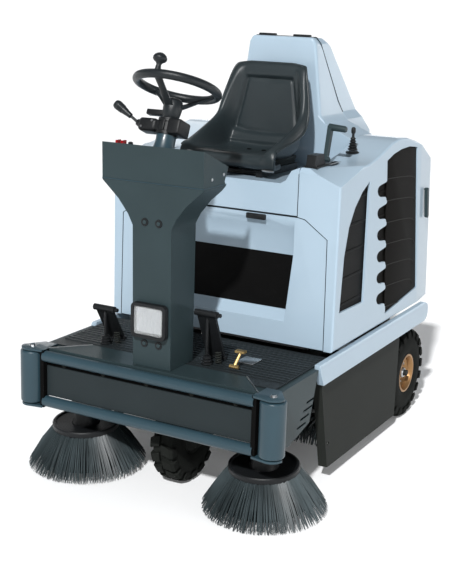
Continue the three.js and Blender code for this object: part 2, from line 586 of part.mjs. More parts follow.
function seat() {
  const side = [[-216, 1072], [-224, 1098], [-206, 1117], [-120, 1108], [20, 1104], [56, 1122], [76, 1180],
    [88, 1300], [94, 1392], [106, 1404], [124, 1396], [124, 1300], [118, 1190], [104, 1100], [70, 1068]];
  const bolster = [[-214, 1080], [-204, 1128], [-150, 1140], [-40, 1150], [20, 1184], [50, 1230], [76, 1240],
    [110, 1180], [90, 1080]];
  const front = mirrorOutline([[176, 1060], [188, 1100], [204, 1200], [198, 1246], [150, 1388], [134, 1406]]);
  const shell = join(alongX(side, -210, 210), alongX(bolster, -210, -158), alongX(bolster, 158, 210));
  const runners = join(box(-122, -98, -150, 80, 1059, 1076), box(98, 122, -150, 80, 1059, 1076));
  return shell.intersect(alongY(front, -300, 200)).add(runners);
}
add('seat', seat(), VINYL);

// ---------- running gear ----------

function frontFork() {
  const { y, z } = FRONT_AXLE;
  const crown = box(-72, 72, y - 45, y + 45, 352, 372);
  const arm = box(56, 68, y - 28, y + 28, z - 28, 360);
  const axle = bar([-72, y, z], [72, y, z], 12);
  const stem = bar([0, y, 368], [0, y, 446], 20, 20, 20);
  return join(crown, arm, mirrored(arm), axle, stem);
}
add('front_fork', frontFork(), SKIRT);

const tyreProfile = (inner, half, r) => {
  const side = [[inner, half - 8], [inner + 26, half], [r - 22, half], [r - 6, half - 6], [r, half - 18]];
  return [...side.map(([radius, x]) => [radius, -x]), ...side.reverse()];
};
function frontWheel() {
  const { radius, half, bore } = FRONT_WHEEL;
  return turnedX(tyreProfile(bore, half, radius), 28).translate(0, FRONT_AXLE.y, FRONT_AXLE.z);
}
add('front_wheel', frontWheel(), RUBBER);

function rearWheels() {
  const { x, radius, half, rim } = REAR_WHEEL;
  const place = (solid) => solid.translate(x, REAR_AXLE.y, REAR_AXLE.z);
  const edge = rim - GAP;
  const disc = turnedX([[13, -30], [30, -30], [30, -8], [edge, -26], [edge, 30], [edge - 10, 30], [60, 10],
    [32, 10], [32, 30], [13, 30]], 20);
  addPair('rear_tyre', place(turnedX(tyreProfile(rim, half, radius), 28)), RUBBER);
  addPair('rear_rim', place(disc), BRONZE);
}
rearWheels();

// ---------- brooms ----------

const BROOM_PIVOT = { y: -315, z: 270 };
const tiltBroom = (solid) => solid.rotate([THREE.MathUtils.radToDeg(BROOM.tilt), 0, 0])
  .translate(BROOM.x, BROOM.y, BROOM.radius * Math.sin(BROOM.tilt) + 2);
function sideBroom() {
  const { radius, ring, height } = BROOM;
  return tiltBroom(turned([[0, 118], [60, 118], [150, 5], [radius, 5], [ring - 4, height - 20], [ring, height - 15],
    [ring, height - 2], [ring - 6, height], [40, height], [40, 186], [0, 186]], 28));
}
addPair('side_broom', sideBroom(), BRISTLE);

function broomArm() {
  const motor = tiltBroom(turned([[0, 187], [44, 187], [48, 192], [48, 236], [0, 236]], 20));
  const beam = box(BROOM.x - 7, BROOM.x + 9, BROOM.y, BROOM_PIVOT.y + 14, 246, 284);
  const post = bar([BROOM.x + 1, BROOM.y, 230], [BROOM.x + 1, BROOM.y, 262], 22);
  const pin = bar([336, BROOM_PIVOT.y, BROOM_PIVOT.z], [378, BROOM_PIVOT.y, BROOM_PIVOT.z], 8);
  return join(motor, beam, post, pin);
}
addPair('broom_arm', broomArm(), SKIRT);

function mainBroom() {
  const { y, z, radius, half } = MAIN_BROOM;
  const profile = [[0, -318], [10, -318], [10, -half + 8], [40, -half + 8], [radius, -half], [radius, half],
    [40, half - 8], [10, half - 8], [10, 318], [0, 318]];
  return turnedX(profile, 28).translate(0, y, z);
}
add('main_broom', mainBroom(), BRISTLE);

function mainBroomArm() {
  const { y, z } = MAIN_BROOM;
  const shape = [[y - 24, z - 20], [y + 20, z - 26], [304, 240], [304, 300], [262, 300], [y - 24, z + 24]];
  const bores = join(bar([300, y, z], [330, y, z], 11), bar([300, 280, 260], [330, 280, 260], 9));
  const side = alongX(shape, 306, 314).subtract(bores);
  return join(side, mirrored(side), bar([-310, 284, 286], [310, 284, 286], 9));
}
add('main_broom_arm', mainBroomArm(), SKIRT);

// ---------- inside the body ----------

function hopper() {
  const tub = cut(box(-284, 284, 388, 712, 104, 392), box(-279, 279, 393, 707, 109, 400),
    box(-270, 270, 380, 400, 190, 400));
  const grip = box(-120, 120, 735, REAR, 300, 320);
  const posts = join(box(-120, -104, 708, 740, 300, 320), box(104, 120, 708, 740, 300, 320));
  return join(tub, grip, posts);
}
add('hopper', hopper(), SKIRT);

function powerUnit() {
  const { half, depth, top } = POWER_UNIT;
  const base = box(-BASE_HALF, BASE_HALF, -150, 150, RAIL.top + GAP, RAIL.top + 10);
  const block = box(-half, half, -depth, depth, RAIL.top + 8, top);
  const fan = bar([188, 0, 580], [240, 0, 580], 105, 105, 24);
  const silencer = bar([-150, 60, 720], [150, 60, 720], 44, 44, 18);
  return join(base, block, fan, silencer);
}
add('power_unit', powerUnit(), STEEL);

function dustFilter() {
  const { half, front, back, top } = FILTER;
  const base = box(-BASE_HALF, BASE_HALF, front, back, RAIL.top + GAP, RAIL.top + 10);
  return base.add(box(-half, half, front, back, RAIL.top + 8, top));
}
add('dust_filter', dustFilter(), BLACK);

export default sweeper;
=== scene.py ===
"""Looks of the ride-on sweeper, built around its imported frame. Metres, +Z up, the machine faces -Y."""

import json
import math
import random

import bmesh
import bpy
from mathutils import Matrix, Vector


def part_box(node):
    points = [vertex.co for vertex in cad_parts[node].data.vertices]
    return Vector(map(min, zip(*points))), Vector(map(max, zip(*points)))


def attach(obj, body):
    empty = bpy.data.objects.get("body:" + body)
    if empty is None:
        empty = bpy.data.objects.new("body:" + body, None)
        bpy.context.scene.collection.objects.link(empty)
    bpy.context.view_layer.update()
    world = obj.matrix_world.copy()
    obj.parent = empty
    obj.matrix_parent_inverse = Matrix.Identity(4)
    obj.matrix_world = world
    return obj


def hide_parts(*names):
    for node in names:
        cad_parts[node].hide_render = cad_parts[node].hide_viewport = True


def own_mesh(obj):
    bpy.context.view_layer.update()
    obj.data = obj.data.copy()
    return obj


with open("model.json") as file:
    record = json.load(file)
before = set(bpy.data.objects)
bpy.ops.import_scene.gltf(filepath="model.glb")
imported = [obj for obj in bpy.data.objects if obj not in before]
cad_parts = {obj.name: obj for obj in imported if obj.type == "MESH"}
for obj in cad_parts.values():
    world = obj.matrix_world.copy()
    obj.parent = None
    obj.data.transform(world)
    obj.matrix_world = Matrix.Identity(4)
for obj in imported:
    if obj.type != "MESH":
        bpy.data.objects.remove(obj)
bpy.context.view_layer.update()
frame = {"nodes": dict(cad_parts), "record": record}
RECORD = frame["record"]
BODY_OF = {node: body for body, nodes in RECORD["behaviour"]["bodies"].items() for node in nodes}
SIDES = (("left", 1), ("right", -1))
TAU = math.tau

# ---------- driving values, in metres and degrees ----------

CAMERA = {"azimuth": 28.77, "elevation": 14.10, "roll": 1.81, "distance": 4.501, "lens": 73.27}
CAMERA_TARGET = Vector((-0.1615, 0.1303, 0.5483))

STUDIO = {"half": 80, "wall": 12, "floor_glow": 0.08, "wall_glow": 0.8, "sky": 0.24}
SUN = {"from": Vector((0.20, -0.76, 0.62)), "power": 4.2, "angle": 2.5}
SIDE_LAMP = {"at": (2.7, -0.5, 1.1), "target": (0.4, -0.1, 0.7), "size": 1.5, "power": 12}
RIM_LAMP = {"at": (-2.5, 3.5, 3.2), "target": (0, 0, 1.0), "size": 2.0, "power": 15}

STEER = {"hub": Vector((0, -0.549, 1.354)), "tilt": 21.7, "radius": 0.130, "rim": 0.014}
BROOM = {"x": 0.356, "y": -0.533, "z": 0.0165, "tilt": 4.0, "radius": 0.2075, "ring": 0.118, "top": 0.150}
REAR_WHEEL = {"x": 0.391, "y": 0.567, "radius": 0.180, "half": 0.039, "rim": 0.078}
FRONT_WHEEL = {"x": 0.0, "y": -0.457, "radius": 0.160, "half": 0.046, "rim": 0.060}
ROLLER = {"x": 0.461, "y": -0.705, "radius": 0.042}
BUMPER = {"y": -0.714, "radius": 0.019, "half": 0.404, "heights": (0.438, 0.278)}
PEDAL = {"y": -0.480, "z": 0.474, "lean": 0.072}  # foot of the pad, and how far its top leans forward


# ---------- materials ----------

def shader(name, color, roughness, metallic=0.0, coat=0.0, grain=None, mottle=0.06, shine=0.5):
    """A principled material with slightly uneven colour and a fine bump, grain = (scale, strength).

    shine sets the refractive index: 0.5 is plain plastic, and less reflects less.
    """
    material = bpy.data.materials.new(name)
    material.use_nodes = True
    nodes, links = material.node_tree.nodes, material.node_tree.links
    surface = nodes["Principled BSDF"]
    surface.inputs["Roughness"].default_value = roughness
    surface.inputs["Metallic"].default_value = metallic
    surface.inputs["Coat Weight"].default_value = coat
    surface.inputs["IOR"].default_value = 1 + 0.9 * shine
    place = nodes.new("ShaderNodeTexCoord")
    cloud = nodes.new("ShaderNodeTexNoise")
    cloud.inputs["Scale"].default_value = 6.0
    cloud.inputs["Detail"].default_value = 4.0
    links.new(place.outputs["Object"], cloud.inputs["Vector"])
    ramp = nodes.new("ShaderNodeValToRGB")
    ramp.color_ramp.elements[0].position = 0.3
    ramp.color_ramp.elements[1].position = 0.7
    ramp.color_ramp.elements[0].color = (*[c * (1 - mottle) for c in color], 1)
    ramp.color_ramp.elements[1].color = (*[min(1, c * (1 + mottle)) for c in color], 1)
    links.new(cloud.outputs["Fac"], ramp.inputs["Fac"])
    links.new(ramp.outputs["Color"], surface.inputs["Base Color"])
    if grain:
        scale, strength = grain
        noise = nodes.new("ShaderNodeTexNoise")
        noise.inputs["Scale"].default_value = scale
        bump = nodes.new("ShaderNodeBump")
        bump.inputs["Strength"].default_value = strength
        bump.inputs["Distance"].default_value = 0.001
        links.new(place.outputs["Object"], noise.inputs["Vector"])
        links.new(noise.outputs["Fac"], bump.inputs["Height"])
        links.new(bump.outputs["Normal"], surface.inputs["Normal"])
    return material


def ribbed(material, axis, pitch, depth):
    """Adds straight ribs across an axis to a material's bump."""
    nodes, links = material.node_tree.nodes, material.node_tree.links
    place = nodes.new("ShaderNodeTexCoord")
    wave = nodes.new("ShaderNodeTexWave")
    wave.wave_type = "BANDS"
    wave.bands_direction = axis
    wave.inputs["Scale"].default_value = TAU / (20 * pitch)
    bump = nodes.new("ShaderNodeBump")
    bump.inputs["Strength"].default_value = 1.0
    bump.inputs["Distance"].default_value = depth
    links.new(place.outputs["Object"], wave.inputs["Vector"])
    links.new(wave.outputs["Fac"], bump.inputs["Height"])
    links.new(bump.outputs["Normal"], nodes["Principled BSDF"].inputs["Normal"])
    return material


def dotted(material, pitch, depth):
    """Adds a woven mesh of small cells to a material's bump."""
    nodes, links = material.node_tree.nodes, material.node_tree.links
    place = nodes.new("ShaderNodeTexCoord")
    cells = nodes.new("ShaderNodeTexVoronoi")
    cells.inputs["Scale"].default_value = 1 / pitch
    cells.inputs["Randomness"].default_value = 0.0
    bump = nodes.new("ShaderNodeBump")
    bump.inputs["Strength"].default_value = 1.0
    bump.inputs["Distance"].default_value = depth
    links.new(place.outputs["Object"], cells.inputs["Vector"])
    links.new(cells.outputs["Distance"], bump.inputs["Height"])
    links.new(bump.outputs["Normal"], nodes["Principled BSDF"].inputs["Normal"])
    return material


BLUE = shader("body_blue", (0.315, 0.408, 0.488), 0.30, coat=0.3, grain=(420, 0.07), mottle=0.015)
SLATE = shader("slate_paint", (0.022, 0.036, 0.040), 0.42, coat=0.03, grain=(900, 0.25), shine=0.3)
PANEL = shader("panel_paint", (0.016, 0.022, 0.024), 0.48, grain=(900, 0.2), shine=0.25)
TUBE = shader("tube_paint", (0.020, 0.044, 0.058), 0.36, coat=0.08, grain=(900, 0.15), shine=0.45)
DARK = shader("dark_paint", (0.020, 0.022, 0.020), 0.55, grain=(900, 0.2), shine=0.15)
BLACK = shader("black_plastic", (0.008, 0.009, 0.010), 0.40, grain=(1400, 0.3), shine=0.35)
GRIP = shader("black_grip", (0.010, 0.013, 0.015), 0.36, grain=(1800, 0.25), shine=0.4)
GRILLE = dotted(shader("grille_black", (0.007, 0.0065, 0.006), 0.55, shine=0.1), 0.006, 0.0006)
# A little lighter than the grille: the louvre ribs are real, and their lighter colour is a painted highlight.
LOUVRE_HIGHLIGHT = shader("grille_louvre_highlight", (0.020, 0.019, 0.018), 0.5, shine=0.15)
MESH = dotted(shader("window_mesh", (0.004, 0.004, 0.004), 0.5, shine=0.15), 0.005, 0.0008)
MAT = ribbed(shader("mat_rubber", (0.014, 0.018, 0.020), 0.45, shine=0.35), "Y", 0.010, 0.0012)
TYRE = shader("tyre", (0.009, 0.010, 0.009), 0.72, grain=(300, 0.35), mottle=0.2, shine=0.15)
BRONZE = shader("bronze", (0.30, 0.17, 0.075), 0.36, metallic=0.85, grain=(200, 0.15), mottle=0.25)
BRASS = shader("brass", (0.55, 0.38, 0.16), 0.3, metallic=0.9, mottle=0.15)
STEEL = shader("steel", (0.42, 0.43, 0.44), 0.3, metallic=0.95, grain=(300, 0.1))
ENGINE = shader("engine_grey", (0.10, 0.10, 0.105), 0.5, metallic=0.5, grain=(120, 0.3))
VINYL = shader("vinyl", (0.016, 0.023, 0.026), 0.38, grain=(700, 0.3), mottle=0.1, shine=0.45)
# The strong mottle paints a sheen: broad lighter and darker patches over the bristles.
BRISTLE = shader("bristle", (0.036, 0.048, 0.052), 0.42, mottle=0.5, shine=0.4)
RED = shader("red_plastic", (0.36, 0.006, 0.008), 0.25, coat=0.4)
# Near-black for the dark joint lines between mouldings, and painted shade in the bumper's gap and end slits,
# the lever gate's slot and the side brooms' insides.
SEAM_AND_SHADE = shader("seam_and_shade_black", (0.004, 0.004, 0.004), 0.8, shine=0.1)
CHROME = shader("reflector", (0.86, 0.87, 0.88), 0.12, metallic=1.0, mottle=0.01)


def lens_glass():
    material = shader("lens", (0.93, 0.95, 0.96), 0.06, mottle=0.005)
    surface = material.node_tree.nodes["Principled BSDF"]
    surface.inputs["Transmission Weight"].default_value = 0.85
    surface.inputs["IOR"].default_value = 1.46
    return ribbed(material, "X", 0.006, 0.0012)


LENS = lens_glass()


# ---------- mesh helpers ----------

def link(name, mesh, material, body):
    """Puts a mesh in the scene as a piece that rides on a body."""
    piece = bpy.data.objects.new(name, mesh)
    mesh.materials.clear()
    mesh.materials.append(material)
    bpy.context.collection.objects.link(piece)
    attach(piece, body)
    return piece


def smooth(bm, angle=38):
    """Shades smooth, with the edges over an angle kept sharp."""
    limit = math.radians(angle)
    for face in bm.faces:
        face.smooth = True
    for edge in bm.edges:
        edge.smooth = len(edge.link_faces) != 2 or edge.calc_face_angle(0) < limit


def to_mesh(bm, name, angle=38):
    bmesh.ops.recalc_face_normals(bm, faces=bm.faces)
    smooth(bm, angle)
    mesh = bpy.data.meshes.new(name)
    bm.to_mesh(mesh)
    bm.free()
    return mesh


def from_lists(points, faces):
    bm = bmesh.new()
    verts = [bm.verts.new(point) for point in points]
    for face in faces:
        bm.faces.new([verts[i] for i in face])
    return bm


def soften(bm, width, segments=2, angle=28, pick=None):
    """Rounds the edges over an angle that `pick` accepts."""
    limit = math.radians(angle)
    edges = [edge for edge in bm.edges if len(edge.link_faces) == 2 and edge.calc_face_angle(0) > limit
             and (pick is None or pick(edge))]
    bmesh.ops.bevel(bm, geom=edges, offset=width, segments=segments, profile=0.5, affect="EDGES",
                    clamp_overlap=True)


def cad_bmesh(node):
    """A CAD node's own shape, as a clean bmesh in the shared frame."""
    source = frame["nodes"][node]
    bm = bmesh.new()
    bm.from_mesh(source.data)
    bm.transform(source.matrix_world)
    bmesh.ops.remove_doubles(bm, verts=bm.verts, dist=1e-5)
    bmesh.ops.dissolve_limit(bm, angle_limit=math.radians(0.8), verts=bm.verts, edges=bm.edges)
    return bm


def weighted(piece):
    modifier = piece.modifiers.new("weighted_normals", "WEIGHTED_NORMAL")
    modifier.keep_sharp = True
    return piece


def stand_in(piece, *nodes):
    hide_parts(*nodes)
    return piece


def cast(node, material, width=0.0015, segments=2, angle=28, picks=()):
    """Stands in for a CAD node with the same shape and rounded edges."""
    bm = cad_bmesh(node)
    for pick_width, pick_segments, pick in picks:
        soften(bm, pick_width, pick_segments, angle, pick)
    if width:
        soften(bm, width, segments, angle)
    piece = link(f"{node}_shell", to_mesh(bm, node), material, BODY_OF[node])
    return weighted(stand_in(piece, node))


def turned(profile, sides=48):
    """A closed (radius, height) profile turned about Z."""
    points, faces = [], []
    count = len(profile)
    for i in range(sides):
        c, s = math.cos(TAU * i / sides), math.sin(TAU * i / sides)
        points += [(r * c, r * s, z) for r, z in profile]
    for i in range(sides):
        a, b = i * count, (i + 1) % sides * count
        faces += [(a + j, b + j, b + (j + 1) % count, a + (j + 1) % count) for j in range(count)]
    bm = from_lists(points, faces)
    bmesh.ops.remove_doubles(bm, verts=bm.verts, dist=1e-6)
    bad = [face for face in bm.faces if face.calc_area() < 1e-12]
    bmesh.ops.delete(bm, geom=bad, context="FACES")
    return bm


def moved(bm, matrix):
    bm.transform(matrix)
    return bm


def merged(*parts):
    """One bmesh out of several."""
    whole = bmesh.new()
    for part in parts:
        scratch = bpy.data.meshes.new("scratch")
        part.to_mesh(scratch)
        part.free()
        whole.from_mesh(scratch)
        bpy.data.meshes.remove(scratch)
    return whole


def block(low, high, width=0.0, segments=2):
    """A box between two corners with rounded edges."""
    low, high = Vector(low), Vector(high)
    bm = bmesh.new()
    bmesh.ops.create_cube(bm, size=1.0)
    bm.transform(Matrix.Translation((low + high) / 2) @ Matrix.Diagonal((*(high - low), 1)))
    if width:
        soften(bm, width, segments)
    return bm


def rod(start, end, radius, end_radius=None, sides=24):
    """A round bar between two points."""
    start, end = Vector(start), Vector(end)
    bm = bmesh.new()
    bmesh.ops.create_cone(bm, cap_ends=True, segments=sides, radius1=radius,
                          radius2=radius if end_radius is None else end_radius, depth=(end - start).length)
    turn = Vector((0, 0, 1)).rotation_difference((end - start).normalized()).to_matrix().to_4x4()
    bm.transform(Matrix.Translation((start + end) / 2) @ turn)
    return bm


def pipe(points, radius, sides=10, closed=False):
    """A round tube along a list of points."""
    points = [Vector(p) for p in points]
    count = len(points)
    rings, faces = [], []
    for i, p in enumerate(points):
        before = points[(i - 1) % count] if closed or i else p
        after = points[(i + 1) % count] if closed or i < count - 1 else p
        along = (after - before).normalized()
        side = along.orthogonal().normalized() if not rings else (side - along * side.dot(along)).normalized()
        across = along.cross(side)
        rings += [p + radius * (math.cos(TAU * k / sides) * side + math.sin(TAU * k / sides) * across)
                  for k in range(sides)]
    last = count if closed else count - 1
    for i in range(last):
        a, b = i * sides, (i + 1) % count * sides
        faces += [(a + k, a + (k + 1) % sides, b + (k + 1) % sides, b + k) for k in range(sides)]
    if not closed:
        faces += [tuple(range(sides)), tuple(range(last * sides, last * sides + sides))]
    return from_lists(rings, faces)


def hex_bolt(at, normal, radius=0.006, height=0.004):
    at, normal = Vector(at), Vector(normal).normalized()
    washer = rod(at - normal * 0.001, at + normal * 0.0012, radius * 1.5, sides=24)
    head = rod(at, at + normal * height, radius, radius * 0.92, sides=6)
    return merged(washer, head)


def piece(name, bm, material, body, slot=None, angle=38):
    return link(name, to_mesh(bm, name, angle), material, body)


# ---------- body mouldings ----------

REAR_GRILLE = ((0.226, 0.509), (0.153, 1.088), (0.216, 1.106), (0.290, 1.116), (0.370, 1.118), (0.452, 1.108),
               (0.550, 0.545))
SCALLOPS = {"count": 6, "top": 0.984, "pitch": 0.081}
POD_SKIN = 0.4455  # |x| beyond which a vertex lies on a pod's outer face
POD_OPENINGS = {"front": -0.215, "back": 0.575, "low": 0.49, "high": 1.125}


def pod_edge(edge):
    """The long outer edges of a side pod, round its openings left out."""
    return all(abs(v.co.x) > POD_SKIN for v in edge.verts) and not at_opening(edge)


def at_opening(edge):
    """Whether an edge lies in the part of a pod's side that holds the grille openings."""
    middle = (edge.verts[0].co + edge.verts[1].co) / 2
    along = POD_OPENINGS["front"] < middle.y < POD_OPENINGS["back"]
    upright = POD_OPENINGS["low"] < middle.z < POD_OPENINGS["high"]
    return along and upright and middle.z < 1.07 + 0.4 * max(0, middle.y)


def opening_edge(edge):
    """The outer edges of the grille openings and of the fingers between them."""
    return all(abs(v.co.x) > POD_SKIN for v in edge.verts) and at_opening(edge)


def inset(points, distance):
    """A (y, z) outline moved inwards by a distance."""
    count = len(points)
    centre = Vector((sum(p[0] for p in points) / count, sum(p[1] for p in points) / count))
    moved_points = []
    for i, point in enumerate(points):
        p, before, after = Vector(point), Vector(points[i - 1]), Vector(points[(i + 1) % count])
        n1, n2 = ((b - a).normalized() for a, b in ((before, p), (p, after)))
        n1, n2 = Vector((-n1.y, n1.x)), Vector((-n2.y, n2.x))
        if n1.dot(centre - p) < 0:
            n1, n2 = -n1, -n2
        moved_points.append(p + (n1 + n2).normalized() * distance / max(0.4, math.sqrt((1 + n1.dot(n2)) / 2)))
    return moved_points


def slab(outline, x0, x1, width):
    """A plate of (y, z) outline between two x, with rounded edges."""
    count = len(outline)
    points = [(x, y, z) for x in (x0, x1) for y, z in outline]
    faces = [tuple(range(count)), tuple(range(count, 2 * count))]
    faces += [(i, (i + 1) % count, count + (i + 1) % count, count + i) for i in range(count)]
    bm = from_lists(points, faces)
    bmesh.ops.recalc_face_normals(bm, faces=bm.faces)
    soften(bm, width, 2, 15)
    return bm


def rear_grilles():
    """A dark louvred cover behind the scalloped edge, with arched ribs whose lighter colour is a painted
    highlight on the louvres.
    """
    for side, sign in SIDES:
        plate = cad_bmesh(f"rear_grille_{side}")
        cover = slab(inset(REAR_GRILLE, 0.0035), sign * 0.4382, sign * 0.4425, 0.0012)
        grille = piece(f"rear_grille_{side}_cover", merged(plate, cover), GRILLE, "chassis")
        stand_in(grille, f"rear_grille_{side}")
        ribs = []
        for i in range(SCALLOPS["count"] + 1):
            z = SCALLOPS["top"] + 0.036 - SCALLOPS["pitch"] * i
            front = 0.162 + (1.088 - z) * 0.126
            back = 0.470 + (1.108 - z) * 0.10
            if i == SCALLOPS["count"]:
                back -= 0.03
            line = [(front, z), (front + 0.05, z - 0.002), (back - 0.09, z - 0.014),
                    (back - 0.045, z - 0.022), (back - 0.022, z - 0.032), (back - 0.012, z - 0.050)]
            ribs.append(pipe([(sign * 0.4423, y, h) for y, h in smooth_line(line)], 0.0016, 8))
        piece(f"rear_grille_{side}_ribs", merged(*ribs), LOUVRE_HIGHLIGHT, "chassis", "black_plastic")


def smooth_line(points, steps=2):
    """An open line with its corners cut, keeping its ends."""
    line = [Vector(p) for p in points]
    for _ in range(steps):
        finer = [line[0]]
        for a, b in zip(line, line[1:]):
            finer += [a * 0.75 + b * 0.25, a * 0.25 + b * 0.75]
        line = finer + [line[-1]]
    return line


def seams():
    """Black joint lines between the body mouldings."""
    front = -0.2463
    lines = [[(0.293, front, 0.926), (0.293, front, 1.070), (0.293, -0.232, 1.0915), (0.293, -0.060, 1.0915)],
             [(0.293, front, 0.9265), (0.3225, front, 0.9215), (0.4065, front, 0.8625),
              (0.412, front, 0.480)]]
    paths = [[(sign * x, y, z) for x, y, z in line] for line in lines for sign in (1, -1)]
    paths.append([(-0.293, front, 0.9268), (0.293, front, 0.9268)])
    piece("body_seams", merged(*[pipe(path, 0.0013, 6) for path in paths]), SEAM_AND_SHADE, "chassis",
          "black_plastic")
    side = [(0.122, 0.2055, 1.5003), (0.136, 0.2177, 1.478), (0.1635, 0.336, 1.267), (0.1685, 0.3725, 1.2235)]
    paths = [[(sign * x, y, z) for x, y, z in side] for sign in (1, -1)]
    paths.append([(-0.122, 0.2055, 1.5003), (0.122, 0.2055, 1.5003)])
    piece("tower_seams", merged(*[pipe(path, 0.0014, 6) for path in paths]), SEAM_AND_SHADE, "hood", "black_plastic")


def tower_edge(edge):
    """The long edges of the tower, from the seat deck up."""
    heights = [v.co.z for v in edge.verts]
    back = max(v.co.y for v in edge.verts)
    upper = min(heights) > 1.15 and back < 0.30
    front_corner = max(heights) > 1.40 and min(heights) > 1.05 and back < 0.21
    return upper or front_corner


def body_mouldings():
    for side, _ in SIDES:
        picks = ((0.014, 4, pod_edge), (0.0045, 3, opening_edge))
        cast(f"side_pod_{side}", BLUE, 0.0015, 2, 30, picks=picks)
        cast(f"side_grille_{side}", MESH, 0)
    cast("front_panel", BLUE, 0.004, 3)
    cast("rear_panel", BLUE, 0.004, 3)
    cast("hood", BLUE, 0.009, 4, 30, picks=((0.016, 5, tower_edge),))
    cast("rear_lid", BLUE, 0.010, 4, 24)
    cast("front_grille", MESH, 0)
    for side, _ in SIDES:
        cast(f"sill_{side}", BLUE, 0.008, 4, 30)
    rear_grilles()
    seams()
    latch = merged(block((0.103, -0.2565, 0.9035), (0.177, -0.2445, 0.9225), 0.003),
                   block((0.117, -0.2595, 0.907), (0.163, -0.2555, 0.918), 0.0015))
    piece("hood_catch", latch, BLACK, "chassis", "black_plastic")
    for name, x in (("tower_strip_left", 0.070), ("tower_strip_right", -0.070)):
        strip = block((x - 0.034, 0.186, 1.498), (x + 0.034, 0.204, 1.5085), 0.003)
        piece(name, strip, BLACK, "hood", "black_plastic")


# ---------- frame, deck and bumper ----------

def frame_and_deck():
    for node in ("chassis_frame", "front_fork", "main_broom_arm", "hopper",
                 "broom_arm_left", "broom_arm_right",
                 "skirt_left", "skirt_right"):
        cast(node, DARK, 0.001, 1)
    for node in ("deck_plate", "side_plate_left", "side_plate_right"):
        cast(node, SLATE, 0.001, 2)
    cast("bumper_panel", PANEL, 0.0012, 2)
    cast("deck_mat", MAT, 0)


def bumper():
    y, half = BUMPER["y"], BUMPER["half"]
    tubes = [rod((-half, y, z), (half, y, z), BUMPER["radius"], sides=40) for z in BUMPER["heights"]]
    plates = cad_bmesh("bumper_frame")
    inside = [v for v in plates.verts if abs(v.co.x) < half - 0.0045 and v.co.y < -0.694]
    bmesh.ops.delete(plates, geom=inside, context="VERTS")
    bmesh.ops.holes_fill(plates, edges=[edge for edge in plates.edges if edge.is_boundary])
    soften(plates, 0.0012, 2, 40)
    stand_in(piece("bumper_tubes", merged(*tubes, plates), TUBE, "chassis"), "bumper_frame")
    posts = [sign * (half + 0.002) for sign in (1, -1)]
    # Near-black blocks over the end uprights: painted shade for the dark slits beside the rollers.
    post_shade_covers = [block((x - 0.0075, y - 0.0135, 0.2585), (x + 0.0075, y + 0.015, 0.4605)) for x in posts]
    piece("bumper_post_shade", merged(*post_shade_covers), SEAM_AND_SHADE, "chassis", "black_plastic")
    # A thin near-black sheet under the top tube: painted shade in the gap between tube and panel.
    gap_shade = block((-half + 0.006, -0.7045, 0.4045), (half - 0.006, -0.7035, 0.425))
    piece("bumper_gap_shade", gap_shade, SEAM_AND_SHADE, "chassis", "black_plastic")
    bolts = [hex_bolt((x, -0.7045, 0.4125), (0, -1, 0), 0.005, 0.004) for x in (-0.33, -0.17, 0, 0.17, 0.33)]
    piece("bumper_bolts", merged(*bolts), DARK, "chassis", "dark_paint")
    edges = [pipe([(sign * 0.301, -0.581, 0.4612), (sign * 0.402, -0.694, 0.4612)], 0.0022, 8)
             for sign in (1, -1)]
    piece("strip_edges", merged(*edges), STEEL, "chassis", "steel")


def rollers():
    """The upright corner rollers, with a bolt above and below each."""
    low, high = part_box("corner_roller_left")
    length = high[2] - low[2]
    radius = ROLLER["radius"]
    edge = 0.007
    arc = [(radius - edge + edge * math.sin(a), edge - edge * math.cos(a)) for a in
           (0, 0.4, 0.8, 1.2, math.pi / 2)]
    profile = [(0.008, 0)] + arc + [(r, length - z) for r, z in reversed(arc)] + [(0.008, length)]
    for side, sign in SIDES:
        at = Matrix.Translation((sign * ROLLER["x"], ROLLER["y"], low[2]))
        roller = piece(f"roller_{side}", moved(turned(profile, 56), at), TUBE, f"corner_roller_{side}")
        stand_in(roller, f"corner_roller_{side}")
        bolts = [hex_bolt((sign * ROLLER["x"], ROLLER["y"], z), (0, 0, way), 0.0085, 0.007)
                 for z, way in ((0.462, 1), (0.257, -1))]
        piece(f"roller_bolts_{side}", merged(*bolts), STEEL, "chassis", "steel")


# ---------- steering column and dash ----------

def column():
    cast("column_cover", SLATE, 0.0022, 3, 30)
    cast("dash_panel", BLACK, 0.001)
    rings, screws = [], []
    for x, z in ((0.026, 0.940), (0.027, 0.540)):
        y = -0.676 - (z - 0.461) * 0.0208
        for sign in (1, -1):
            place = Matrix.Translation((sign * x, y, z)) @ Matrix.Rotation(math.pi / 2, 4, "X")
            ring = turned([(0.0055, 0), (0.0135, 0), (0.0125, 0.0022), (0.0095, 0.0024), (0.006, 0.0006)], 32)
            rings.append(moved(ring, place))
            screw = turned([(0, 0), (0.0058, 0), (0.0055, 0.0022), (0.003, 0.003), (0, 0.003)], 24)
            screws.append(moved(screw, place))
    piece("column_bolt_rings", merged(*rings), BLACK, "chassis", "black_plastic")
    piece("column_bolts", merged(*screws), STEEL, "chassis", "steel")
    # Thin beads along the cover's fold lines, in a paint lighter than the cover: a painted highlight that
    # draws the folds.
    fold_highlight = [pipe([(-0.187, -0.6895, 1.0655), (0.187, -0.6895, 1.0655)], 0.0014, 8),
            pipe([(0.1872, -0.6885, 1.0655), (0.1872, -0.550, 1.0655)], 0.0014, 8)]
    piece("dash_fold_highlight", merged(*fold_highlight), TUBE, "chassis", "slate_paint")
    rivets = [hex_bolt((0.1872, -0.640, 1.090), (1, 0, 0), 0.0035, 0.003),
              hex_bolt((0.1872, -0.568, 1.098), (1, 0, 0), 0.0035, 0.003)]
    piece("dash_rivets", merged(*rivets), STEEL, "chassis", "steel")


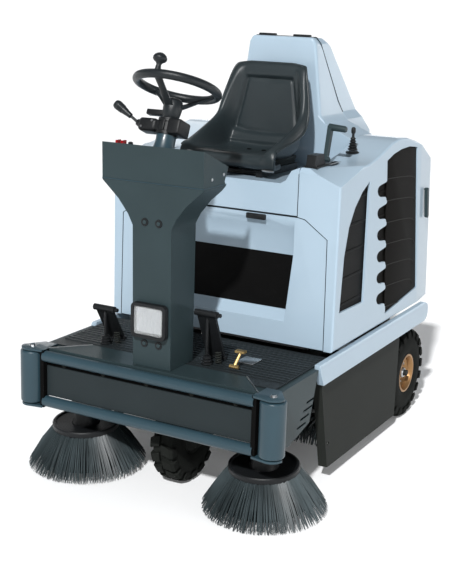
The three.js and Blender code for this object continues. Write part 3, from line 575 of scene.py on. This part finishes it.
def headlight():
    cast("headlight_bezel", BLACK, 0.002, 3)
    cast("headlight_lens", LENS, 0.001, 2)
    low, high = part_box("headlight_lens")
    margin, back = 0.006, high[1]
    bowl = block((low[0] + margin, back + 0.0002, low[2] + margin),
                 (high[0] - margin, back + 0.0006, high[2] - margin))
    piece("headlight_reflector", bowl, CHROME, "chassis", "lens")


def steering_matrix():
    return Matrix.Translation(STEER["hub"]) @ Matrix.Rotation(-math.radians(STEER["tilt"]), 4, "X")


def steering_wheel(place):
    ring = [(STEER["radius"] * math.cos(TAU * i / 96), STEER["radius"] * math.sin(TAU * i / 96), 0)
            for i in range(96)]
    rim = pipe(ring, STEER["rim"], 20, closed=True)
    spokes = []
    for angle in (270, 30, 150):
        direction = Vector((math.cos(math.radians(angle)), math.sin(math.radians(angle)), 0))
        across = Vector((-direction.y, direction.x, 0))
        stations = ((0.014, -0.070, 0.017, 0.007), (0.045, -0.052, 0.0145, 0.006),
                    (0.085, -0.026, 0.0125, 0.0055), (0.122, -0.003, 0.013, 0.008))
        points, faces = [], []
        for out, height, half, thick in stations:
            centre = direction * out + Vector((0, 0, height))
            points += [centre + across * half * a + Vector((0, 0, thick * b))
                       for a, b in ((-1, -0.5), (-0.7, 1), (0.7, 1), (1, -0.5), (0.7, -1), (-0.7, -1))]
        for i in range(len(stations) - 1):
            faces += [(i * 6 + k, i * 6 + (k + 1) % 6, i * 6 + 6 + (k + 1) % 6, i * 6 + 6 + k)
                      for k in range(6)]
        faces += [tuple(range(6)), tuple(range(18, 24))]
        spoke = from_lists(points, faces)
        soften(spoke, 0.0015, 2, 20)
        spokes.append(spoke)
    hub = turned([(0, -0.300), (0.0135, -0.300), (0.0135, -0.108), (0.022, -0.106), (0.028, -0.094),
                  (0.031, -0.072), (0.030, -0.052), (0.026, -0.044), (0.020, -0.040), (0, -0.038)], 40)
    knob_base = rod((0, -STEER["radius"], 0.008), (0, -STEER["radius"], 0.021), 0.0105, 0.0085)
    wheel = piece("steering_rim", moved(merged(rim, *spokes, hub, knob_base), place), GRIP,
                  "steering_wheel", angle=45)
    stand_in(wheel, "steering_wheel")
    knob_place = place @ Matrix.Translation((0, -STEER["radius"], 0))
    knob = moved(turned([(0, 0.0212), (0.0085, 0.0212), (0.0078, 0.028), (0.0105, 0.034), (0.0185, 0.039),
                         (0.0222, 0.0445), (0.0222, 0.050), (0.019, 0.0565), (0.0135, 0.0615),
                         (0.008, 0.0645), (0, 0.0655)], 36), knob_place)
    stand_in(piece("spinner_grip", knob, GRIP, "spinner_knob", angle=60), "spinner_knob")


def switch_housing(place):
    """The two-part switch box clamped round the column, and the flared sleeve below it."""
    halves = [block((-0.098, -0.030, -0.1545), (-0.030, 0.030, -0.1115), 0.012, 4),
              block((0.014, -0.035, -0.158), (0.060, 0.035, -0.1085), 0.007, 3),
              block((-0.050, -0.026, -0.149), (0.030, 0.026, -0.116), 0.004),
              turned([(0.0165, -0.159), (0.036, -0.159), (0.036, -0.150), (0.0335, -0.148), (0.0335, -0.121),
                      (0.036, -0.119), (0.036, -0.108), (0.0165, -0.108)], 40),
              block((-0.006, -0.0385, -0.150), (0.006, -0.030, -0.115), 0.002),
              rod((-0.090, 0, -0.134), (-0.115, -0.004, -0.1245), 0.016, 0.0105)]
    housing = piece("switch_boxes", moved(merged(*halves), place), BLACK, "chassis", angle=35)
    stand_in(housing, "switch_housing")
    tab = block((-0.085, -0.014, -0.098), (-0.018, 0.010, -0.080), 0.003, 2)
    piece("switch_tab", moved(tab, place), BLACK, "chassis", "black_plastic")
    screws = [moved(turned([(0, 0), (0.004, 0), (0.0035, 0.0018), (0, 0.002)], 16),
                    place @ Matrix.Translation((x, -0.0305, z)) @ Matrix.Rotation(math.pi / 2, 4, "X"))
              for x, z in ((-0.082, -0.143), (-0.046, -0.122))]
    piece("switch_screws", merged(*screws), STEEL, "chassis", "steel")
    tube = turned([(0.0165, -0.254), (0.044, -0.254), (0.0435, -0.236), (0.0395, -0.218), (0.0345, -0.202),
                   (0.0320, -0.185), (0.0315, -0.1605), (0.0165, -0.1605)], 48)
    stand_in(piece("column_sleeve", moved(tube, place), TUBE, "chassis"), "column_tube")


def signal_stalk(place):
    """The thin stalk with its ringed grip."""
    stalk_start, stalk_end = Vector((-0.112, -0.004, -0.1265)), Vector((-0.190, -0.024, -0.080))
    along = (stalk_end - stalk_start).normalized()
    length = (stalk_end - stalk_start).length
    profile = [(0, 0), (0.0048, 0), (0.0045, 0.030), (0.0085, 0.034), (0.0098, 0.048), (0.0128, 0.066),
               (0.0128, 0.068), (0.0142, 0.069), (0.0142, 0.072), (0.0134, 0.073), (0.0134, 0.075),
               (0.0148, 0.076), (0.0148, 0.079), (0.0140, 0.080), (0.0140, 0.082), (0.0152, 0.083),
               (0.0156, length), (0.013, length + 0.008), (0.006, length + 0.0115), (0, length + 0.012)]
    turn = Vector((0, 0, 1)).rotation_difference(along).to_matrix().to_4x4()
    stalk = moved(turned(profile, 32), place @ Matrix.Translation(stalk_start) @ turn)
    stand_in(piece("stalk_grip", stalk, GRIP, "signal_stalk", angle=32), "signal_stalk")


def steering():
    place = steering_matrix()
    steering_wheel(place)
    switch_housing(place)
    signal_stalk(place)


def knobs():
    for node in ("choke_knob", "flap_knob"):
        cast(node, RED, 0.0014, 2)
    cast("key_switch", BLACK, 0.001, 2)


# ---------- pedals and levers ----------

def bellows(at, radius, height, folds=4, top=0.55):
    """A rubber boot of stacked folds, smaller at the top."""
    profile = [(0, 0)]
    for i in range(folds):
        shrink = 1 - (1 - top) * i / folds
        step = height / folds
        profile += [(radius * shrink * share, i * step + step * rise)
                    for share, rise in ((0.72, 0.02), (1.0, 0.35), (0.98, 0.6), (0.70, 0.95))]
    profile += [(radius * top * 0.6, height), (0, height)]
    return moved(turned(profile, 28), Matrix.Translation(at))


def spring(at, radius, height, turns=5, wire=0.002):
    """An upright coil spring that stands on a point."""
    steps = turns * 16
    points = [(at[0] + radius * math.cos(TAU * i / 16), at[1] + radius * math.sin(TAU * i / 16),
               at[2] + height * i / steps) for i in range(steps + 1)]
    return pipe(points, wire, 8)


def pedals():
    for node in ("drive_pedal", "brake_pedal"):
        cast(node, BLACK, 0.0018, 2)
        low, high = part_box(node)
        x = (low[0] + high[0] - 0.012) / 2
        ridges = []
        for i in range(4):
            t = 0.28 + 0.17 * i
            y = PEDAL["y"] - PEDAL["lean"] * t
            z = PEDAL["z"] + (high[2] - 0.011 - PEDAL["z"]) * t
            ridges.append(block((x - 0.030, y + 0.003, z - 0.002), (x + 0.030, y + 0.0065, z + 0.003), 0.001))
        piece(f"{node}_ridges", merged(*ridges), MAT, BODY_OF[node], "mat_rubber")
        foot = (x - 0.001, -0.5425, 0.4605)
        boot = piece(f"{node}_boot", bellows(foot, 0.020, 0.030, 3, 0.75), BLACK, "chassis", "black_plastic")
        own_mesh(boot)
        foot = (x + 0.030, -0.520, 0.463)
        coil = piece(f"{node}_spring", spring(foot, 0.009, 0.040), DARK, "chassis", "dark_paint")
        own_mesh(coil)
    cast("flap_pedal", BRASS, 0.001, 2)
    plate = block((0.200, -0.470, 0.4626), (0.262, -0.400, 0.4650), 0.001)
    piece("flap_pedal_plate", plate, STEEL, "chassis", "steel")


def levers():
    cast("lever_bracket", BLACK, 0.002, 2)
    handle = cad_bmesh("hopper_lever")
    soften(handle, 0.003, 3)
    handle = merged(handle, rod((0.3765, -0.076, 1.2119), (0.381, -0.076, 1.2118), 0.0108, 0.0085))
    stand_in(piece("hopper_lever_handle", handle, SLATE, "hopper_lever", angle=45), "hopper_lever")
    gate = block((0.336, -0.140, 1.0984), (0.362, -0.062, 1.1002), 0.0008)
    piece("lever_gate", gate, STEEL, "chassis", "steel")
    # A thin near-black sheet on the gate plate: painted shade standing in for the lever's slot.
    slot = block((0.343, -0.130, 1.1003), (0.353, -0.072, 1.1008))
    piece("lever_gate_slot_shade", slot, SEAM_AND_SHADE, "chassis", "black_plastic")
    low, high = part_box("broom_lever")
    x, y = (low[0] + high[0]) / 2, (low[1] + high[1]) / 2
    boot = bellows((x, y, low[2]), 0.0175, 0.046, 5, 0.42)
    stem = moved(turned([(0, 0.044), (0.0048, 0.044), (0.0045, 0.058), (0.0075, 0.062), (0.0082, 0.070),
                         (0.0075, 0.077), (0.004, 0.0815), (0, 0.082)], 24),
                  Matrix.Translation((x, y, low[2])))
    stand_in(piece("broom_lever_boot", merged(boot, stem), BLACK, "broom_lever"), "broom_lever")
    flange = moved(turned([(0, 0), (0.024, 0), (0.024, 0.002), (0.020, 0.004), (0, 0.004)], 32),
                   Matrix.Translation((x, y, 1.1145)))
    piece("broom_lever_flange", flange, BLACK, "chassis", "black_plastic")
    cast("rear_latch", SLATE, 0.002, 2)


# ---------- seat ----------

def eased(t):
    t = max(0.0, min(1.0, t))
    return t * t * (3 - 2 * t)


SEAT_PATH = ((-0.140, 1.064), (-0.190, 1.063), (-0.212, 1.070), (-0.2225, 1.086), (-0.220, 1.103),
             (-0.204, 1.115), (-0.170, 1.117), (-0.120, 1.111), (-0.060, 1.106), (-0.010, 1.106),
             (0.028, 1.113), (0.052, 1.134), (0.066, 1.170), (0.076, 1.220), (0.083, 1.275), (0.088, 1.325),
             (0.092, 1.365), (0.097, 1.388), (0.106, 1.400), (0.117, 1.398), (0.1215, 1.384))
SEAT_HALF = (0.172, 0.178, 0.183, 0.186, 0.188, 0.189, 0.190, 0.190, 0.190, 0.190, 0.189, 0.187, 0.185, 0.181,
             0.173, 0.162, 0.152, 0.143, 0.134, 0.128, 0.124)
SEAT_RIM = ((-0.140, 1.064), (-0.190, 1.063), (-0.214, 1.070), (-0.226, 1.090), (-0.226, 1.112),
            (-0.212, 1.134), (-0.182, 1.146), (-0.142, 1.160), (-0.102, 1.175), (-0.062, 1.190),
            (-0.028, 1.204), (-0.002, 1.218), (0.018, 1.236), (0.033, 1.264), (0.047, 1.300),
            (0.060, 1.335), (0.073, 1.368), (0.087, 1.392), (0.104, 1.402), (0.117, 1.399), (0.1215, 1.384))
SEAT_FINE = 5  # rows of the fine grid for each step of the path
BACK_PANEL = {"low": 1.156, "high": 1.352, "half_low": 0.130, "half_high": 0.092}


def spline(values, t):
    """A smooth value between the steps of a list (numbers or vectors)."""
    i = min(int(t), len(values) - 2)
    f = t - i
    a, b, c, d = (values[max(0, min(len(values) - 1, i + k))] for k in (-1, 0, 1, 2))
    return 0.5 * (2 * b + (c - a) * f + (2 * a - 5 * b + 4 * c - d) * f * f
                  + (3 * b - a - 3 * c + d) * f ** 3)


def seat_point(t, u):
    """A point of the seat's front surface: t along the path, u across from -1 to 1."""
    path = [Vector((0, y, z)) for y, z in SEAT_PATH]
    edge = [Vector((0, y, z)) for y, z in SEAT_RIM]
    centre = spline(path, t)
    along = (spline(path, min(t + 0.15, len(path) - 1)) - spline(path, max(t - 0.15, 0))).normalized()
    outward = Vector((0, -along.z, along.y))
    half = spline(SEAT_HALF, t)
    side = eased((abs(u) - 0.68) / 0.18)
    roll = eased((abs(u) - 0.90) / 0.10)
    raised = (spline(edge, t) - centre) * side * (1 - 0.40 * roll * roll)
    lift = 0
    if centre.z > 1.12 and t > 10:
        share = (centre.z - BACK_PANEL["low"]) / (BACK_PANEL["high"] - BACK_PANEL["low"])
        width = BACK_PANEL["half_low"] + (BACK_PANEL["half_high"] - BACK_PANEL["half_low"]) * share
        bottom = BACK_PANEL["low"] + 0.012 * abs(u * half / width) ** 2
        away = max(abs(u) * half - width, centre.z - BACK_PANEL["high"], bottom - centre.z)
        lift += 0.009 * eased((away + 0.002) / 0.014) - 0.006 * math.exp(-((away + 0.003) / 0.0045) ** 2)
        lift -= 0.004 * (1 - eased(abs(u) / 0.5)) * (away < 0)
    else:
        lift -= 0.006 * (1 - eased(abs(u) / 0.66))
        lift += 0.004 * math.exp(-(u / 0.22) ** 2) * eased(1 - abs(centre.y + 0.195) / 0.06)
    return Vector((u * half, centre.y, centre.z)) + raised + outward * lift * (1 - side)


def seat():
    across = [i / 34 for i in range(-34, 35)]
    rows = (len(SEAT_PATH) - 1) * SEAT_FINE + 1
    points = [seat_point(i / SEAT_FINE, u) for i in range(rows) for u in across]
    width = len(across)
    faces = [(i * width + j, i * width + j + 1, (i + 1) * width + j + 1, (i + 1) * width + j)
             for i in range(rows - 1) for j in range(width - 1)]
    shell = piece("seat_shell", from_lists(points, faces), VINYL, "seat", angle=80)
    thick = shell.modifiers.new("thickness", "SOLIDIFY")
    thick.thickness = 0.020
    thick.offset = -1
    rounder = shell.modifiers.new("rounding", "SUBSURF")
    rounder.levels = 1
    rounder.render_levels = 1
    stand_in(shell, "seat")
    rim = [seat_point(t / 4, 0.985) for t in range(20, 72)]
    rim += [seat_point(17.9, u / 10) for u in range(9, -10, -1)]
    rim += [seat_point(t / 4, -0.985) for t in range(71, 19, -1)]
    piece("seat_piping", pipe(rounded_line(rim), 0.0042, 10), VINYL, "seat", "vinyl", 60)
    for name, x in (("seat_drain_left", 0.030), ("seat_drain_right", -0.030)):
        eyelet = moved(turned([(0.003, 0), (0.0085, 0), (0.0085, 0.0015), (0.006, 0.0025),
                               (0.003, 0.002)], 24), Matrix.Translation((x, 0.002, 1.1015)))
        piece(name, eyelet, SEAM_AND_SHADE, "seat", "black_plastic")
    low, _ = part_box("seat")
    for name, x in (("seat_runner_left", 0.110), ("seat_runner_right", -0.110)):
        runner = merged(block((x - 0.012, -0.150, low[2] + 0.0002), (x + 0.012, 0.070, 1.080), 0.002),
                        block((x - 0.026, -0.130, 1.076), (x + 0.026, 0.055, 1.090), 0.003))
        piece(name, runner, DARK, "seat", "dark_paint")
    lever = pipe(smooth_line([(0.128, -0.145, 1.064), (0.128, -0.200, 1.064), (0.148, -0.214, 1.064),
                              (0.182, -0.214, 1.064)]), 0.004, 10)
    piece("seat_slide_lever", lever, STEEL, "seat", "steel")
    cast("seat_rails", BLACK, 0.001, 1)


def rounded_line(points):
    """An open line, each point averaged with its neighbours."""
    middle = [(a + b * 2 + c) / 4 for a, b, c in zip(points, points[1:], points[2:])]
    return [points[0]] + middle + [points[-1]]


# ---------- wheels ----------

def tyre(spec, lugs):
    """A tyre about X: a carcass and two rows of staggered tread blocks."""
    r, half, rim = spec["radius"], spec["half"], spec["rim"]
    groove = 0.011
    carcass = [(rim, -half + 0.008), (rim + 0.010, -half + 0.003), (rim + 0.030, -half + 0.001),
               (r - 0.045, -half + 0.002), (r - 0.030, -half + 0.006), (r - groove - 0.006, -half + 0.010),
               (r - groove, -half + 0.020)]
    profile = carcass + [(radius, -x) for radius, x in reversed(carcass)]
    body = turned(profile, 72)
    blocks = []
    step = TAU / lugs
    for sign in (-1, 1):
        for i in range(lugs):
            start = (i + (0.5 if sign > 0 else 0)) * step
            blocks.append(tread_block(start, step * 0.66, sign, r, half, groove))
    whole = merged(body, *blocks)
    turn = Matrix.Rotation(math.pi / 2, 4, "Y")
    return moved(whole, Matrix.Translation((spec["x"], spec["y"], r)) @ turn)


def tread_block(start, span, sign, r, half, groove):
    """One tread block, from near the middle of the tread down over the shoulder."""
    section = ((0.004, r - groove - 0.002, r), (half * 0.45, r - groove - 0.002, r - 0.0002),
               (half - 0.012, r - groove - 0.004, r - 0.002), (half - 0.002, r - 0.028, r - 0.010),
               (half, r - 0.034, r - 0.024))
    skew = (0.0, 0.10, 0.28, 0.34, 0.34)
    points, faces = [], []
    turns = (0.0, 0.5, 1.0)
    for (x, low, high), lean in zip(section, skew):
        for t in turns:
            angle = start + span * (t + lean)
            inset = start + span * (0.06 + 0.88 * t + lean)
            points.append((low * math.cos(angle), low * math.sin(angle), sign * x))
            points.append((high * math.cos(inset), high * math.sin(inset), sign * x))
    per = len(turns) * 2
    for i in range(len(section) - 1):
        a, b = i * per, (i + 1) * per
        for k in range(len(turns) - 1):
            faces.append((a + 2 * k + 1, a + 2 * k + 3, b + 2 * k + 3, b + 2 * k + 1))
            faces.append((a + 2 * k, b + 2 * k, b + 2 * k + 2, a + 2 * k + 2))
        faces.append((a, a + 1, b + 1, b))
        faces.append((a + per - 2, b + per - 2, b + per - 1, a + per - 1))
    end = (len(section) - 1) * per
    for base in (0, end):
        for k in range(len(turns) - 1):
            faces.append((base + 2 * k, base + 2 * k + 2, base + 2 * k + 3, base + 2 * k + 1))
    bm = from_lists(points, faces)
    bmesh.ops.recalc_face_normals(bm, faces=bm.faces)
    return bm


def axle_matrix(spec, sign):
    """Places a profile turned about Z on a wheel's axle, with its top facing outwards."""
    centre = Matrix.Translation((spec["x"], spec["y"], spec["radius"]))
    return centre @ Matrix.Rotation(sign * math.pi / 2, 4, "Y")


def front_wheel():
    stand_in(piece("front_tyre", tyre(FRONT_WHEEL, 17), TYRE, "front_wheel", angle=30), "front_wheel")
    for side, sign in SIDES:
        plate = turned([(0.0135, 0.030), (0.0135, 0.044), (0.024, 0.044), (0.026, 0.038), (0.052, 0.034),
                        (0.0605, 0.040), (0.0605, 0.030)], 40)
        hub = moved(plate, axle_matrix(FRONT_WHEEL, sign))
        piece(f"front_hub_{side}", hub, DARK, "front_wheel", "dark_paint")


def rear_wheels():
    for side, sign in SIDES:
        spec = dict(REAR_WHEEL, x=sign * REAR_WHEEL["x"])
        name = f"rear_tyre_{side}"
        stand_in(piece(f"{name}_tread", tyre(spec, 20), TYRE, BODY_OF[name], angle=30), name)
        rim_r = spec["rim"]
        turn = axle_matrix(spec, sign)
        dish = turned([(0.0135, -0.020), (0.0135, 0.012), (0.026, 0.012), (0.030, 0.004), (0.048, 0.002),
                       (0.062, 0.012), (0.066, 0.026), (0.071, 0.0335), (rim_r - 0.0004, 0.0335),
                       (rim_r - 0.0004, -0.026), (0.066, -0.024), (0.060, -0.006)], 56)
        stand_in(piece(f"rear_rim_{side}_dish", moved(dish, turn), BRONZE, BODY_OF[name]), f"rear_rim_{side}")
        nuts = []
        for k in range(5):
            x, y = 0.038 * math.cos(TAU * k / 5), 0.038 * math.sin(TAU * k / 5)
            nuts.append(moved(rod((x, y, 0.002), (x, y, 0.012), 0.006, 0.0055, 6), turn))
        cap = turned([(0.0136, 0.0121), (0.021, 0.0121), (0.021, 0.020), (0.017, 0.024), (0.0136, 0.024)], 32)
        nuts.append(moved(cap, turn))
        piece(f"rear_nuts_{side}", merged(*nuts), STEEL, BODY_OF[name], "steel")


# ---------- brooms ----------

def strand(points, faces, root, tip, bow, thickness):
    """Adds one bristle: a thin three-sided spike that bows outwards."""
    root, tip = Vector(root), Vector(tip)
    along = (tip - root).normalized()
    side = along.cross(Vector((0, 0, 1))).normalized()
    out = side.cross(along)
    base = len(points)
    stations = ((0.0, 0.0, 1.0), (0.5, 1.0, 1.0), (1.0, 0.0, 0.55))
    for t, bend, scale in stations:
        centre = root.lerp(tip, t) + out * bow * bend
        for k in range(3):
            angle = TAU * k / 3
            points.append(centre + thickness * scale * (math.cos(angle) * side + math.sin(angle) * out))
    for i in range(2):
        a = base + i * 3
        faces += [(a + k, a + (k + 1) % 3, a + 3 + (k + 1) % 3, a + 3 + k) for k in range(3)]
    faces.append((base + 6, base + 7, base + 8))


def side_broom(side, sign, seed):
    """A tilted cone of bristles in three layers round a near-black inner cone of painted shade, under a disc.
    """
    rng = random.Random(seed)
    ring, top, radius = BROOM["ring"], BROOM["top"], BROOM["radius"]
    place = Matrix.Translation((sign * BROOM["x"], BROOM["y"], BROOM["z"])) \
        @ Matrix.Rotation(math.radians(BROOM["tilt"]), 4, "X")
    points, faces = [], []
    layers = ((330, ring - 0.004, radius - 0.003), (300, ring - 0.016, radius - 0.020),
              (220, ring - 0.032, radius - 0.044))
    for count, root_r, tip_r in layers:
        for i in range(count):
            angle = TAU * (i + rng.uniform(-0.35, 0.35)) / count
            swing = angle + rng.gauss(0, 0.022)
            r0 = root_r + rng.uniform(-0.003, 0.002)
            r1 = min(radius, tip_r + rng.gauss(0, 0.003))
            z1 = 0.001 + abs(rng.gauss(0, 0.0012)) + 0.02 * max(0, (radius - 0.03 - r1))
            root = (r0 * math.cos(angle), r0 * math.sin(angle), top - 0.018)
            tip = (r1 * math.cos(swing), r1 * math.sin(swing), z1)
            strand(points, faces, root, tip, rng.uniform(0.001, 0.005), rng.uniform(0.0016, 0.0025))
    bristles = piece(f"side_broom_{side}_bristles", moved(from_lists(points, faces), place), BRISTLE,
                     f"side_broom_{side}", angle=80)
    stand_in(bristles, f"side_broom_{side}")
    # A near-black inner cone inside the bristles: painted shade that fills the gaps between strands.
    shade_core = turned([(0.060, 0.112), (ring - 0.030, 0.128), (radius - 0.060, 0.012),
                   (radius - 0.068, 0.012)], 48)
    piece(f"side_broom_{side}_core", moved(shade_core, place), SEAM_AND_SHADE, f"side_broom_{side}", "bristle")
    disc = moved(turned([(0, 0.118), (ring - 0.012, 0.118), (ring - 0.002, 0.126), (ring, 0.134),
                         (ring, 0.146), (ring - 0.003, 0.1495), (ring - 0.010, 0.1495),
                         (ring - 0.014, 0.144), (0.050, 0.142), (0.044, 0.150), (0.040, 0.184),
                         (0, 0.184)], 64), place)
    piece(f"side_broom_{side}_disc", disc, BLACK, f"side_broom_{side}", "black_plastic")


def main_broom():
    """A drum with rows of tufts that wind round it."""
    low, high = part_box("main_broom")
    y, z = (low[1] + high[1]) / 2, (low[2] + high[2]) / 2
    radius = (high[2] - low[2]) / 2
    half = 0.298
    rng = random.Random(5)
    points, faces = [], []
    rows, per_row = 14, 120
    for row in range(rows):
        for i in range(per_row):
            x = -half + 2 * half * (i + 0.5) / per_row
            angle = TAU * row / rows + 1.1 * abs(x) / half + rng.gauss(0, 0.04)
            out = Vector((0, math.cos(angle), math.sin(angle)))
            root = Vector((x, 0, 0)) + out * 0.060
            tip = Vector((x + rng.gauss(0, 0.003), 0, 0)) + out * (radius - rng.uniform(0, 0.004))
            strand(points, faces, root, tip, 0.0, 0.0026)
    place = Matrix.Translation((0, y, z))
    tufts = piece("main_broom_tufts", moved(from_lists(points, faces), place), BRISTLE, "main_broom",
                  angle=80)
    stand_in(tufts, "main_broom")
    turn = place @ Matrix.Rotation(math.pi / 2, 4, "Y")
    drum = moved(turned([(0, -0.316), (0.0095, -0.316), (0.0095, -half), (0.064, -half), (0.064, half),
                         (0.0095, half), (0.0095, 0.316), (0, 0.316)], 40), turn)
    piece("main_broom_drum", drum, DARK, "main_broom", "dark_paint")


def inside():
    cast("power_unit", ENGINE, 0.002, 2)
    cast("dust_filter", DARK, 0.002, 2)


# ---------- stage, light and camera ----------

def backdrop(name, points, faces, glow):
    """A pale sheet of the studio that isn't part of the object."""
    mesh = bpy.data.meshes.new(name)
    mesh.from_pydata(points, [], faces)
    material = shader(f"{name}_pale", (0.90, 0.905, 0.91), 0.9, mottle=0.0, shine=0.1)
    surface = material.node_tree.nodes["Principled BSDF"]
    surface.inputs["Emission Color"].default_value = (1, 1, 1, 1)
    surface.inputs["Emission Strength"].default_value = glow
    mesh.materials.append(material)
    sheet = bpy.data.objects.new(name, mesh)
    bpy.context.collection.objects.link(sheet)


def stage():
    """A wide floor with a low glowing wall round its edge, so that the horizon is white too."""
    half = STUDIO["half"]
    corners = [(-half, -half), (half, -half), (half, half), (-half, half)]
    ground = [(x, y, 0) for x, y in corners]
    crest = [(x, y, STUDIO["wall"]) for x, y in corners]
    panels = [(i, (i + 1) % 4, 4 + (i + 1) % 4, 4 + i) for i in range(4)]
    backdrop("floor", ground, [(0, 1, 2, 3)], STUDIO["floor_glow"])
    backdrop("wall", ground + crest, panels, STUDIO["wall_glow"])
    world = bpy.data.worlds.new("studio")
    world.use_nodes = True
    world.node_tree.nodes["Background"].inputs["Color"].default_value = (0.96, 0.98, 1.0, 1)
    world.node_tree.nodes["Background"].inputs["Strength"].default_value = STUDIO["sky"]
    bpy.context.scene.world = world
    bpy.context.scene.view_settings.view_transform = "Standard"


def area_light(name, at, target, size, power):
    data = bpy.data.lights.new(name, "AREA")
    data.shape = "DISK"
    data.size = size
    data.energy = power
    lamp = bpy.data.objects.new(name, data)
    lamp.location = at
    lamp.rotation_euler = (Vector(at) - Vector(target)).to_track_quat("Z", "Y").to_euler()
    bpy.context.collection.objects.link(lamp)


def lights():
    data = bpy.data.lights.new("key", "SUN")
    data.energy = SUN["power"]
    data.angle = math.radians(SUN["angle"])
    key = bpy.data.objects.new("key", data)
    key.rotation_euler = SUN["from"].to_track_quat("Z", "Y").to_euler()
    bpy.context.collection.objects.link(key)
    area_light("side", **SIDE_LAMP)
    area_light("rim", **RIM_LAMP)


def camera():
    azimuth, elevation, roll = (math.radians(CAMERA[k]) for k in ("azimuth", "elevation", "roll"))
    back = Vector((math.sin(azimuth) * math.cos(elevation), -math.cos(azimuth) * math.cos(elevation),
                   math.sin(elevation)))
    right = Vector((math.cos(azimuth), math.sin(azimuth), 0))
    up = back.cross(right)
    x_axis = math.cos(roll) * right + math.sin(roll) * up
    y_axis = -math.sin(roll) * right + math.cos(roll) * up
    data = bpy.data.cameras.new("camera")
    data.lens = CAMERA["lens"]
    data.sensor_width = 36
    data.clip_end = 2000
    eye = bpy.data.objects.new("camera", data)
    matrix = Matrix((x_axis, y_axis, back)).transposed().to_4x4()
    matrix.translation = CAMERA_TARGET + back * CAMERA["distance"]
    eye.matrix_world = matrix
    bpy.context.collection.objects.link(eye)
    bpy.context.scene.camera = eye


stage()
lights()
camera()
body_mouldings()
frame_and_deck()
bumper()
rollers()
column()
headlight()
steering()
knobs()
pedals()
levers()
seat()
front_wheel()
rear_wheels()
for number, (side, sign) in enumerate(SIDES):
    side_broom(side, sign, 11 + number)
main_broom()
inside()
